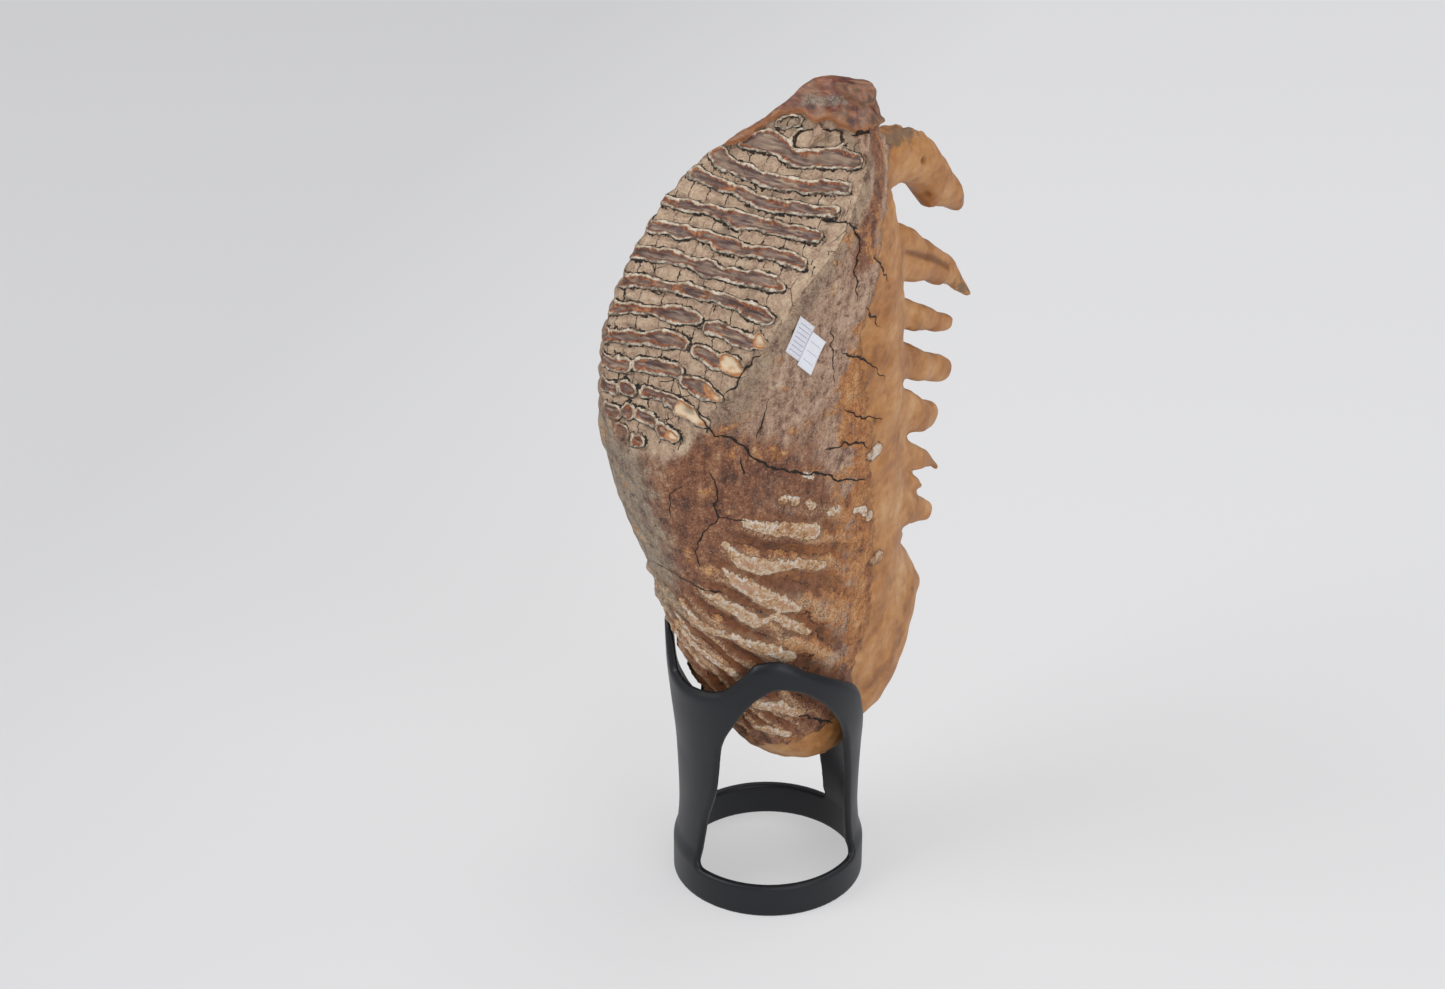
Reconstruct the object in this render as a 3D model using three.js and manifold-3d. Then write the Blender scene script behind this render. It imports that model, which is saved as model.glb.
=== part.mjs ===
// Mammoth molar standing upright in a black printed stand, with two small paper labels on its side.
// Millimetres, +Z up. The origin is below the middle of the whole object, on the surface it stands on.
// The chewing face of the molar looks towards -Y, its roots point towards +Y, and +X is the labelled side.
// All measures are taken from the middle of the stand's foot ring, which is then moved to its place.

import * as THREE from 'three';
import Module from 'manifold-3d';

const wasm = await Module();
wasm.setup();

// Where the middle of the foot ring lies, from the origin
const RING_PLACE = { x: 3.65, y: -10.74 };

// Horizontal sections of the crown, from its lower tip to its top.
// x is the middle, half the half width, front and back the unworn reach along Y.
// The powers say how square each half of the section is, and twist turns it, in degrees.
const CROWN = [
  { z: 50, x: 2, half: 12, front: 5, back: 24, frontPower: 2.0, backPower: 2.2, twist: 0 },
  { z: 53, x: 2, half: 18, front: -1, back: 30, frontPower: 2.0, backPower: 2.3, twist: -2 },
  { z: 60, x: 1.5, half: 23, front: -9, back: 36, frontPower: 2.0, backPower: 2.3, twist: -4 },
  { z: 75, x: -0.5, half: 29, front: -19, back: 44, frontPower: 2.0, backPower: 2.4, twist: -6 },
  { z: 95, x: -1.5, half: 34, front: -28, back: 51, frontPower: 2.05, backPower: 2.6, twist: -8 },
  { z: 120, x: -2.5, half: 37, front: -38, back: 57, frontPower: 2.1, backPower: 2.7, twist: -10 },
  { z: 150, x: -3, half: 39, front: -49, back: 59, frontPower: 2.25, backPower: 2.8, twist: -11 },
  { z: 180, x: -5, half: 42, front: -58, back: 58, frontPower: 2.35, backPower: 2.8, twist: -16 },
  { z: 210, x: -5.5, half: 43, front: -65, back: 55, frontPower: 2.3, backPower: 2.9, twist: -19 },
  { z: 240, x: -3.5, half: 43, front: -66, back: 50, frontPower: 2.4, backPower: 2.9, twist: -14 },
  { z: 265, x: 1, half: 41.5, front: -60, back: 41, frontPower: 2.5, backPower: 2.9, twist: -11 },
  { z: 285, x: 5, half: 39, front: -48, back: 34, frontPower: 2.7, backPower: 2.8, twist: -6 },
  { z: 300, x: 8, half: 33.5, front: -36, back: 29, frontPower: 2.7, backPower: 2.6, twist: -3 },
  { z: 314, x: 14, half: 22.5, front: -18, back: 27, frontPower: 2.5, backPower: 2.2, twist: -1 },
  { z: 325, x: 16, half: 14, front: 0, back: 24.5, frontPower: 2.3, backPower: 2.1, twist: 0 },
  { z: 331, x: 16, half: 7, front: 9, back: 21, frontPower: 2.2, backPower: 2.1, twist: 0 },
];
const CROWN_COLUMNS = 40;
const CROWN_ROWS = 30;
// How far the crown's rows crowd towards its ends, and how far each end is domed
const CROWN_CROWDING = 0.08;
const CROWN_DOME = 0.6;

// The worn chewing face: how far forward it reaches at each height
const WEAR = [
  { z: 196, y: -67 },
  { z: 208, y: -62.5 },
  { z: 220, y: -59.5 },
  { z: 234, y: -57 },
  { z: 247, y: -53.5 },
  { z: 260, y: -47 },
  { z: 275, y: -37 },
  { z: 288, y: -23.5 },
  { z: 298, y: -13 },
  { z: 308, y: -2 },
  { z: 318, y: 8 },
  { z: 331, y: 17 },
  { z: 345, y: 25 },
];
const WEAR_STEP = 6.5;
const WEAR_REACH = 130;
const WEAR_HALF_WIDTH = 80;
const SLOPE_PROBE = 0.5;

// Enamel loops on the chewing face, one row to each plate, from the top row down.
// Each span is a loop's start and end, as parts of the row's width.
const PLATES = [
  { z: 315.5, spans: [[0.16, 0.47], [0.53, 0.97]] },
  { z: 309, spans: [[0.08, 1]] },
  { z: 302.3, spans: [[0, 1]] },
  { z: 295.8, spans: [[0, 1]] },
  { z: 288.8, spans: [[0, 1]] },
  { z: 281.2, spans: [[0, 1]] },
  { z: 272.8, spans: [[0, 1]] },
  { z: 263, spans: [[0, 0.57], [0.62, 1]] },
  { z: 254, spans: [[0, 0.58], [0.64, 1]] },
  { z: 245.5, spans: [[0, 0.52], [0.6, 0.98]] },
  { z: 236, spans: [[0.02, 0.2], [0.27, 0.55], [0.62, 0.95]] },
  { z: 227.5, spans: [[0.02, 0.16], [0.21, 0.4], [0.45, 0.67], [0.73, 0.96]] },
  { z: 219.5, spans: [[0.05, 0.21], [0.28, 0.5], [0.57, 0.85]] },
  { z: 212.5, spans: [[0.2, 0.45], [0.55, 0.8]] },
];
const LOOP_HALF_HEIGHT = 3;
const LOOP_POWER = { long: 3.4, round: 2 };
const LOOP_MARGIN = 2.6;
const LOOP_STEP = 9.2;
const LOOP_FEWEST_STEPS = 7;
// Even steps along a long oval bunch up at its ends, so the turn is stretched there by this part
const LOOP_END_STRETCH = 0.32;
const LOOP_WAVE = { height: 0.5, length: 19, phaseStep: 1.7 };
const TURN_PROBE = 0.02;

// Ridges of the unworn plates on both sides, below the chewing face
const TOP_RIB = 187;
const RIB_PITCH = 12.5;
const RIB_COUNT = 8;
const RIB_STEPS = 5;
const RIB_HALF_WIDTH = 4.6;
const RIB_END_SCALE = 0.25;
// Slopes of a plate where it meets the side: along Y, and how much more it tilts low on the crown
const PLATE_TILT = { back: 0.45, lowBack: 0.35, lowAcross: -0.75, below: 185, within: 70 };
const SIDE_RIBS = [
  { start: -68, end: -14 },
  { start: -112, end: -164 },
];

// Cross-section of every raised ridge
const RIDGE = { height: 0.9, halfWidth: 1.2, depth: 1.4 };

// Roots along the labelled side, from the top down.
// Each is a list of places along its middle, with its half width along X and its half thickness.
const NEAR_ROOTS = [
  [[28, 14, 300, 9, 14], [29, 35, 301, 9, 12], [30, 50, 293, 9.5, 10.5], [30, 64, 279.5, 9, 9.5],
    [29, 75, 269.5, 6.5, 5]],
  [[29, 18, 268, 8, 14], [30, 42, 259, 7.5, 10.5], [31, 59, 249, 6.5, 7.5], [31, 75, 236.5, 4.5, 4],
    [31, 84, 229.5, 2, 1.8]],
  [[28, 24, 243, 7, 7.5], [29, 42, 235.5, 6, 6.5], [30, 59, 227, 4.5, 4.8], [30, 73, 219.5, 3, 2.6]],
  [[28, 24, 226, 8, 9.5], [29, 42, 216, 6.5, 8.2], [30, 56, 208.5, 5, 6], [30, 71, 201.5, 3.6, 3.4]],
  [[28, 24, 205, 8, 12], [29, 42, 195, 7, 9.5], [30, 52, 189.5, 5.5, 7], [30, 63, 184.6, 3.6, 4]],
  [[28, 24, 183, 7, 9], [29, 42, 175, 6, 7], [30, 53, 170, 4.2, 4.2], [30, 66, 161.4, 1.8, 1.5]],
  [[28, 26, 172, 5, 5], [29, 43, 166, 3.6, 3.4], [30, 54, 156.5, 1.6, 1.5]],
  [[27, 24, 163, 8, 12.5], [28, 42, 154, 7, 10], [29, 51, 149, 5.5, 7.5], [30, 62, 141.5, 3, 3.2]],
];

// Roots along the other side, evenly spaced, each a little longer or shorter than the one before
const FAR_ROOTS = { count: 7, top: 262, pitch: 19, x: -24, base: 30, length: 34, droop: 17 };
const FAR_ROOT_VARIATION = { length: 7, phaseStep: 2.3 };
const FAR_ROOT_HALF = { across: 7.5, thick: 8.5 };
// Shape of those roots: parts of the length and the droop, shift along X, parts of the half sizes
const FAR_ROOT_PLACES = [
  { out: 0, down: 0, shift: 0, across: 1, thick: 1 },
  { out: 0.45, down: 0.42, shift: 0, across: 0.8, thick: 0.75 },
  { out: 0.75, down: 0.72, shift: -1, across: 0.6, thick: 0.5 },
  { out: 1, down: 1, shift: -1, across: 0.3, thick: 0.22 },
];
const ROOT_SIDES = 6;
const ROOT_TIP = 0.7;

// The hind root, a broad wing below the row of single roots, as horizontal ovals
const WING = [
  { z: 61, x: 17, y: 26, halfX: 7, halfY: 8 },
  { z: 68, x: 19, y: 31, halfX: 10, halfY: 15 },
  { z: 77, x: 20, y: 35, halfX: 12, halfY: 23 },
  { z: 92, x: 21, y: 37, halfX: 13, halfY: 29 },
  { z: 107, x: 22, y: 37, halfX: 13, halfY: 32 },
  { z: 116, x: 22, y: 37, halfX: 12, halfY: 30 },
  { z: 130, x: 22, y: 36, halfX: 10, halfY: 20 },
  { z: 142, x: 22, y: 35, halfX: 7, halfY: 12 },
];
const WING_SIDES = 16;
const WING_DOME = { below: 1, above: 2 };

// Stand: a printed shell of nearly round section, open at the front and the back.
// Profile of the outer wall, as radius and height
const STAND_PROFILE = [
  { z: 0, radius: 38 },
  { z: 13.7, radius: 38 },
  { z: 21, radius: 36.3 },
  { z: 33, radius: 35.6 },
  { z: 60, radius: 36.5 },
  { z: 84, radius: 38.9 },
  { z: 99, radius: 40.3 },
  { z: 122, radius: 41 },
];
const STAND_WALL = 3.2;
const STAND_SEGMENTS = 36;
const FOOT_HEIGHT = 13.7;

// Angles around the stand are degrees from the direction the windows face, growing towards +X
const STAND_FACING = 33;

// Height of the rim around the stand, at its inner edge
const RIM = [
  { angle: -180, z: 61 },
  { angle: -150, z: 62 },
  { angle: -130, z: 66 },
  { angle: -118, z: 75 },
  { angle: -110, z: 83 },
  { angle: -102, z: 92 },
  { angle: -95, z: 113 },
  { angle: -89, z: 119 },
  { angle: -83, z: 116 },
  { angle: -77, z: 105 },
  { angle: -71, z: 99 },
  { angle: -58, z: 97.8 },
  { angle: -42, z: 99.3 },
  { angle: -30, z: 102 },
  { angle: -18, z: 109.5 },
  { angle: -8, z: 117 },
  { angle: 3, z: 118.2 },
  { angle: 22, z: 112 },
  { angle: 50, z: 101 },
  { angle: 60, z: 96 },
  { angle: 72, z: 83 },
  { angle: 86, z: 70 },
  { angle: 110, z: 65 },
  { angle: 140, z: 62 },
  { angle: 180, z: 61 },
];
const RIM_SLOPE = 1.1;
const RIM_CUT = { reach: 9.6, top: 160 };

// Upper edges of the two windows around the stand; their lower edge is the top of the foot ring
const FRONT_WINDOW = [
  { angle: -51, z: 14.5 },
  { angle: -50, z: 20 },
  { angle: -46.5, z: 33.5 },
  { angle: -37.5, z: 51 },
  { angle: -31.3, z: 74.3 },
  { angle: -21.5, z: 87.3 },
  { angle: -14, z: 95.6 },
  { angle: -6, z: 101.7 },
  { angle: 4, z: 105.4 },
  { angle: 15, z: 103.8 },
  { angle: 24, z: 100 },
  { angle: 41, z: 87.4 },
  { angle: 52.5, z: 74.3 },
  { angle: 60, z: 55 },
  { angle: 64, z: 31 },
  { angle: 65.5, z: 14.5 },
];
const BACK_WINDOW = [
  { angle: 137, z: 14.5 },
  { angle: 138, z: 25 },
  { angle: 141, z: 36 },
  { angle: 150, z: 45 },
  { angle: 165, z: 49 },
  { angle: 190, z: 50 },
  { angle: 212, z: 47 },
  { angle: 226, z: 38 },
  { angle: 231, z: 26 },
  { angle: 232, z: 14.5 },
];
const WINDOW_STEP = 5;
const CUT_DEPTH = 9;

// Room between the molar and the stand
const SEAT_GAP = 1.25;

// Paper labels on the crown's side: the middle of each, its size and its turn, in degrees
const LABELS = [
  { name: 'label_upper', angle: -21, z: 256.3, width: 8.2, height: 13.4, turn: 36, lift: 0.5 },
  { name: 'label_lower', angle: -13.5, z: 248.9, width: 8.8, height: 13.4, turn: 36, lift: 1.05 },
];
const LABEL_THICKNESS = 0.25;
const LABEL_CELLS = 3;

// Passes that find a place on the crown's curved side, and the longest turn in one, in degrees
const PLACE_PASSES = 20;
const PLACE_SHARE = 0.6;
const LONGEST_TURN = 8;

// Smooth curve through the values that the rows hold under one key, with no overshoot between them
function through(rows, key, at = 'z') {
  const t = rows.map((row) => row[at]);
  const v = rows.map((row) => row[key]);
  const last = t.length - 1;
  const secant = (k) => (v[k + 1] - v[k]) / (t[k + 1] - t[k]);
  const slope = t.map((_, k) => {
    if (k === 0) return secant(0);
    if (k === last) return secant(last - 1);
    const before = secant(k - 1);
    const after = secant(k);
    return before * after <= 0 ? 0 : (2 * before * after) / (before + after);
  });
  return (x) => {
    const k = Math.min(Math.max(t.findIndex((value) => value > x) - 1, 0), last - 1);
    const i = x >= t[last] ? last - 1 : k;
    const span = t[i + 1] - t[i];
    const u = Math.min(Math.max((x - t[i]) / span, 0), 1);
    const rise = u * u * (3 - 2 * u);
    return v[i] * (1 - rise) + v[i + 1] * rise
      + span * u * (1 - u) * ((1 - u) * slope[i] - u * slope[i + 1]);
  };
}

// Closed solid from points and triangles, with its faces turned outwards
function solidFrom(points, faces) {
  let volume = 0;
  for (const [a, b, c] of faces) {
    volume += points[a].dot(new THREE.Vector3().crossVectors(points[b], points[c]));
  }
  const outward = volume > 0 ? faces : faces.map(([a, b, c]) => [a, c, b]);
  const vertProperties = new Float32Array(points.flatMap((point) => point.toArray()));
  const triVerts = new Uint32Array(outward.flat());
  return new wasm.Manifold(new wasm.Mesh({ numProp: 3, vertProperties, triVerts }));
}

// Solid through rings of points, closed with a point at each end
function loft(rings, firstEnd, lastEnd) {
  const sides = rings[0].length;
  const points = [...rings.flat(), firstEnd, lastEnd];
  const faces = [];
  for (let side = 0; side < sides; side += 1) {
    const next = (side + 1) % sides;
    for (let row = 0; row + 1 < rings.length; row += 1) {
      const base = row * sides;
      faces.push([base + side, base + next, base + sides + next]);
      faces.push([base + side, base + sides + next, base + sides + side]);
    }
    const top = (rings.length - 1) * sides;
    faces.push([rings.length * sides, next, side]);
    faces.push([rings.length * sides + 1, top + side, top + next]);
  }
  return solidFrom(points, faces);
}

function middleOf(ring) {
  return ring.reduce((sum, point) => sum.add(point), new THREE.Vector3()).divideScalar(ring.length);
}

// Solid between two copies of an outline, which place() puts in space
function prism(outline, place) {
  const flat = outline.map(([u, v]) => new THREE.Vector2(u, v));
  if (THREE.ShapeUtils.isClockWise(flat)) flat.reverse();
  const points = [0, 1].flatMap((end) => flat.map(({ x, y }) => place(x, y, end)));
  const count = flat.length;
  const far = THREE.ShapeUtils.triangulateShape(flat, []);
  const faces = far.flatMap(([a, b, c]) => [[c, b, a], [a + count, b + count, c + count]]);
  for (let k = 0; k < count; k += 1) {
    const next = (k + 1) % count;
    faces.push([k, next, next + count], [k, next + count, k + count]);
  }
  return solidFrom(points, faces);
}

// Raised ridge of three-sided section along a path of places with point, normal and side directions
function ridge(path, closed, size) {
  const section = ({ point, normal, side, scale }) => [
    point.clone().addScaledVector(normal, size.height * scale),
    point.clone().addScaledVector(side, size.halfWidth * scale).addScaledVector(normal, -size.depth),
    point.clone().addScaledVector(side, -size.halfWidth * scale).addScaledVector(normal, -size.depth),
  ];
  const rings = path.map(section);
  const points = rings.flat();
  const faces = [];
  const steps = closed ? rings.length : rings.length - 1;
  for (let k = 0; k < steps; k += 1) {
    const here = k * 3;
    const there = ((k + 1) % rings.length) * 3;
    for (let corner = 0; corner < 3; corner += 1) {
      const next = (corner + 1) % 3;
      faces.push([here + corner, here + next, there + next]);
      faces.push([here + corner, there + next, there + corner]);
    }
  }
  if (!closed) {
    const end = (rings.length - 1) * 3;
    faces.push([0, 2, 1], [end, end + 1, end + 2]);
  }
  return solidFrom(points, faces);
}

const crown = Object.fromEntries(
  ['x', 'half', 'front', 'back', 'frontPower', 'backPower', 'twist'].map((key) => [key, through(CROWN, key)]),
);
const wearY = through(WEAR, 'y');

// Place on the unworn crown, with the section grown outwards by a margin
function crownPoint(z, degrees, grow = 0) {
  const angle = THREE.MathUtils.degToRad(degrees);
  const cos = Math.cos(angle);
  const sin = Math.sin(angle);
  const power = sin < 0 ? crown.frontPower(z) : crown.backPower(z);
  const reach = (Math.abs(cos) ** power + Math.abs(sin) ** power) ** (-1 / power);
  const across = (crown.half(z) + grow) * cos * reach;
  const along = ((crown.back(z) - crown.front(z)) / 2 + grow) * sin * reach;
  const twist = THREE.MathUtils.degToRad(crown.twist(z));
  return new THREE.Vector3(
    crown.x(z) + across * Math.cos(twist) - along * Math.sin(twist),
    (crown.back(z) + crown.front(z)) / 2 + across * Math.sin(twist) + along * Math.cos(twist),
    z,
  );
}

// Outward direction of the unworn crown's surface
function crownNormal(z, degrees) {
  const around = crownPoint(z, degrees + 1).sub(crownPoint(z, degrees - 1));
  const upward = crownPoint(z + 1, degrees).sub(crownPoint(z - 1, degrees));
  return around.cross(upward).normalize();
}

// The crown before wear; its rows lie closer together at both ends
function unwornCrown(columns, rows, grow = 0) {
  const low = CROWN[0].z;
  const high = CROWN[CROWN.length - 1].z;
  const rings = [];
  for (let row = 0; row < rows; row += 1) {
    const part = row / (rows - 1);
    const z = low + (high - low) * (part - CROWN_CROWDING * Math.sin(2 * Math.PI * part));
    const ring = [];
    for (let column = 0; column < columns; column += 1) {
      ring.push(crownPoint(z, (360 * column) / columns, grow));
    }
    rings.push(ring);
  }
  const foot = middleOf(rings[0]).setZ(low - CROWN_DOME - grow);
  const head = middleOf(rings[rows - 1]).setZ(high + CROWN_DOME + grow);
  return loft(rings, foot, head);
}

// Everything in front of the worn face, which wear has taken away
function wornAway() {
  const first = WEAR[0].z;
  const last = WEAR[WEAR.length - 1].z;
  const steps = Math.round((last - first) / WEAR_STEP);
  const outline = [];
  for (let k = 0; k <= steps; k += 1) {
    const z = first + ((last - first) * k) / steps;
    outline.push([wearY(z), z]);
  }
  outline.push([-WEAR_REACH, last], [-WEAR_REACH, first]);
  return prism(outline, (y, z, end) => new THREE.Vector3((end * 2 - 1) * WEAR_HALF_WIDTH, y, z));
}

// Slope of the worn face at a height, as forward reach over height
function wearSlope(z) {
  return (wearY(z + SLOPE_PROBE) - wearY(z - SLOPE_PROBE)) / (2 * SLOPE_PROBE);
}

// Ends of the worn face along X at a height
function wearEnds(z) {
  const worn = [];
  for (let degrees = 180; degrees <= 360; degrees += 1) {
    const point = crownPoint(z, degrees);
    if (point.y < wearY(z)) worn.push(point.x);
  }
  return [Math.min(...worn), Math.max(...worn)];
}

// One enamel loop on the worn face: a long oval ring with a slow wave in it
function enamelLoop(height, from, to, phase) {
  const middle = (from + to) / 2;
  const halfLength = (to - from) / 2;
  const around = 4 * halfLength + 2 * LOOP_HALF_HEIGHT;
  const count = Math.max(LOOP_FEWEST_STEPS, Math.round(around / LOOP_STEP));
  const long = halfLength > 2 * LOOP_HALF_HEIGHT;
  const power = long ? LOOP_POWER.long : LOOP_POWER.round;
  const stretch = long ? LOOP_END_STRETCH : 0;
  const place = (turn) => {
    const cos = Math.cos(turn);
    const sin = Math.sin(turn);
    const reach = (Math.abs(cos) ** power + Math.abs(sin) ** power) ** (-1 / power);
    const x = middle + halfLength * cos * reach;
    const wave = LOOP_WAVE.height * Math.sin((2 * Math.PI * x) / LOOP_WAVE.length + phase);
    const up = LOOP_HALF_HEIGHT * sin * reach + wave;
    const z = height + up / Math.hypot(1, wearSlope(height));
    return new THREE.Vector3(x, wearY(z), z);
  };
  const path = [];
  for (let k = 0; k < count; k += 1) {
    const part = (2 * Math.PI * k) / count;
    const turn = part - stretch * Math.sin(2 * part);
    const point = place(turn);
    const along = place(turn + TURN_PROBE).sub(place(turn - TURN_PROBE)).normalize();
    const normal = new THREE.Vector3(0, -1, wearSlope(point.z)).normalize();
    path.push({ point, normal, side: normal.clone().cross(along).normalize(), scale: 1 });
  }
  return ridge(path, true, RIDGE);
}

// Path of a plate down the side of the crown: steeper, and turned across, towards the lower end
function plateHeightAt(top, x, y) {
  const low = THREE.MathUtils.smoothstep(PLATE_TILT.below - top, 0, PLATE_TILT.within);
  const across = PLATE_TILT.lowAcross * low;
  const back = PLATE_TILT.back + PLATE_TILT.lowBack * low;
  return top + across * x - back * (y - crown.front(top));
}

// One plate ridge on the side, between two angles around the crown
function sideRib(top, start, end) {
  const surface = (degrees) => {
    let z = top;
    for (let pass = 0; pass < PLACE_PASSES; pass += 1) {
      const point = crownPoint(z, degrees);
      z += PLACE_SHARE * (plateHeightAt(top, point.x, point.y) - z);
      z = Math.max(z, CROWN[1].z);
    }
    return crownPoint(z, degrees);
  };
  const path = [];
  for (let k = 0; k <= RIB_STEPS; k += 1) {
    const degrees = start + ((end - start) * k) / RIB_STEPS;
    const point = surface(degrees);
    const along = surface(degrees + 1).sub(surface(degrees - 1)).normalize();
    const normal = crownNormal(point.z, degrees);
    const swell = Math.sin((Math.PI * (k + 0.5)) / (RIB_STEPS + 1));
    const scale = RIB_END_SCALE + (1 - RIB_END_SCALE) * swell;
    path.push({ point, normal, side: normal.clone().cross(along).normalize(), scale });
  }
  return ridge(path, false, { ...RIDGE, halfWidth: RIB_HALF_WIDTH });
}

// Tapered root along its middle, each place given as x, y, z, half width across and half thickness
function root(places) {
  const across = new THREE.Vector3(1, 0, 0);
  const middles = places.map(([x, y, z]) => new THREE.Vector3(x, y, z));
  const rings = places.map(([, , , halfAcross, halfThick], k) => {
    const before = middles[Math.max(k - 1, 0)];
    const after = middles[Math.min(k + 1, middles.length - 1)];
    const along = after.clone().sub(before).normalize();
    const thick = along.clone().cross(across).normalize();
    const ring = [];
    for (let side = 0; side < ROOT_SIDES; side += 1) {
      const turn = (2 * Math.PI * side) / ROOT_SIDES;
      ring.push(middles[k].clone()
        .addScaledVector(across, halfAcross * Math.cos(turn))
        .addScaledVector(thick, halfThick * Math.sin(turn)));
    }
    return ring;
  });
  const last = middles.length - 1;
  const tipStep = middles[last].clone().sub(middles[last - 1]).normalize();
  const tip = middles[last].clone().addScaledVector(tipStep, places[last][4] * ROOT_TIP);
  return loft(rings, middles[0], tip);
}

function farRoot(index) {
  const { top, pitch, x, base, length, droop } = FAR_ROOTS;
  const reach = length + FAR_ROOT_VARIATION.length * Math.sin(index * FAR_ROOT_VARIATION.phaseStep);
  return root(FAR_ROOT_PLACES.map(({ out, down, shift, across, thick }) => [
    x + shift,
    base + reach * out,
    top - pitch * index - droop * down,
    FAR_ROOT_HALF.across * across,
    FAR_ROOT_HALF.thick * thick,
  ]));
}

// The hind root's wing, grown outwards by a margin
function wing(grow = 0) {
  const rings = WING.map(({ z, x, y, halfX, halfY }) => {
    const ring = [];
    for (let side = 0; side < WING_SIDES; side += 1) {
      const turn = (2 * Math.PI * side) / WING_SIDES;
      ring.push(new THREE.Vector3(
        x + (halfX + grow) * Math.cos(turn),
        y + (halfY + grow) * Math.sin(turn),
        z,
      ));
    }
    return ring;
  });
  const first = WING[0].z - grow - WING_DOME.below;
  const last = WING[WING.length - 1].z + WING_DOME.above;
  return loft(rings, middleOf(rings[0]).setZ(first), middleOf(rings[rings.length - 1]).setZ(last));
}

// The molar grew as one piece: worn crown, enamel loops, side ridges and roots
function molarSolid() {
  let molar = unwornCrown(CROWN_COLUMNS, CROWN_ROWS).subtract(wornAway()).add(wing());
  PLATES.forEach(({ z, spans }, row) => {
    const [left, right] = wearEnds(z);
    const low = left + LOOP_MARGIN;
    const width = right - left - 2 * LOOP_MARGIN;
    spans.forEach(([from, to]) => {
      molar = molar.add(enamelLoop(z, low + width * from, low + width * to, row * LOOP_WAVE.phaseStep));
    });
  });
  for (let k = 0; k < RIB_COUNT; k += 1) {
    SIDE_RIBS.forEach(({ start, end }) => {
      molar = molar.add(sideRib(TOP_RIB - RIB_PITCH * k, start, end));
    });
  }
  NEAR_ROOTS.forEach((places) => {
    molar = molar.add(root(places));
  });
  for (let index = 0; index < FAR_ROOTS.count; index += 1) {
    molar = molar.add(farRoot(index));
  }
  return molar;
}

const standRadius = through(STAND_PROFILE, 'radius');
const rimZ = through(RIM, 'z', 'angle');

// Place around the stand, from an angle off the facing direction
function aroundStand(degrees, radius, z) {
  const angle = THREE.MathUtils.degToRad(degrees + STAND_FACING - 90);
  return new THREE.Vector3(radius * Math.cos(angle), radius * Math.sin(angle), z);
}

// Solid swept around the stand's axis through sections of radius and height, all round or in part
function swept(angles, section, closed) {
  const rings = angles.map((degrees) => {
    return section(degrees).map(([radius, z]) => aroundStand(degrees, radius, z));
  });
  const corners = rings[0].length;
  const faces = [];
  const steps = closed ? rings.length : rings.length - 1;
  for (let k = 0; k < steps; k += 1) {
    const here = k * corners;
    const there = ((k + 1) % rings.length) * corners;
    for (let corner = 0; corner < corners; corner += 1) {
      const next = (corner + 1) % corners;
      faces.push([here + corner, there + corner, there + next]);
      faces.push([here + corner, there + next, here + next]);
    }
  }
  if (!closed) {
    const end = (rings.length - 1) * corners;
    for (let corner = 1; corner + 1 < corners; corner += 1) {
      faces.push([0, corner, corner + 1], [end, end + corner + 1, end + corner]);
    }
  }
  return solidFrom(rings.flat(), faces);
}

const ALL_ROUND = Array.from({ length: STAND_SEGMENTS }, (_, k) => (360 * k) / STAND_SEGMENTS - 180);

function shell() {
  const outer = STAND_PROFILE.map(({ z, radius }) => [radius, z]);
  const inner = STAND_PROFILE.map(({ z, radius }) => [radius - STAND_WALL, z]).reverse();
  return swept(ALL_ROUND, () => [...outer, ...inner], true);
}

// Everything above the rim, whose edge falls towards the outside
function aboveRim() {
  return swept(ALL_ROUND, (degrees) => {
    const z = rimZ(degrees);
    const inner = standRadius(z) - STAND_WALL;
    return [
      [inner - RIM_CUT.reach, z + RIM_SLOPE * RIM_CUT.reach],
      [inner, z],
      [inner + RIM_CUT.reach, z - RIM_SLOPE * STAND_WALL],
      [inner + RIM_CUT.reach, RIM_CUT.top],
      [inner - RIM_CUT.reach, RIM_CUT.top],
    ];
  }, true);
}

// Cut through the wall from the foot ring up to a window's upper edge
function windowCut(edge) {
  const top = through(edge, 'z', 'angle');
  const first = edge[0].angle;
  const steps = Math.ceil((edge[edge.length - 1].angle - first) / WINDOW_STEP);
  const angles = edge.map(({ angle }) => angle);
  for (let k = 1; k < steps; k += 1) {
    const between = first + WINDOW_STEP * k;
    if (angles.every((angle) => Math.abs(angle - between) > WINDOW_STEP / 2)) angles.push(between);
  }
  angles.sort((a, b) => a - b);
  return swept(angles, (degrees) => {
    const z = top(degrees);
    const radius = standRadius(z);
    return [
      [radius - CUT_DEPTH, FOOT_HEIGHT],
      [radius + CUT_DEPTH, FOOT_HEIGHT],
      [radius + CUT_DEPTH, z],
      [radius - CUT_DEPTH, z],
    ];
  }, false);
}

// The stand is printed as one piece, with its walls hollowed where the molar sits against them
function standSolid() {
  return shell()
    .subtract(aboveRim())
    .subtract(windowCut(FRONT_WINDOW))
    .subtract(windowCut(BACK_WINDOW))
    .subtract(unwornCrown(CROWN_COLUMNS, CROWN_ROWS, SEAT_GAP))
    .subtract(wing(SEAT_GAP));
}

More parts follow.
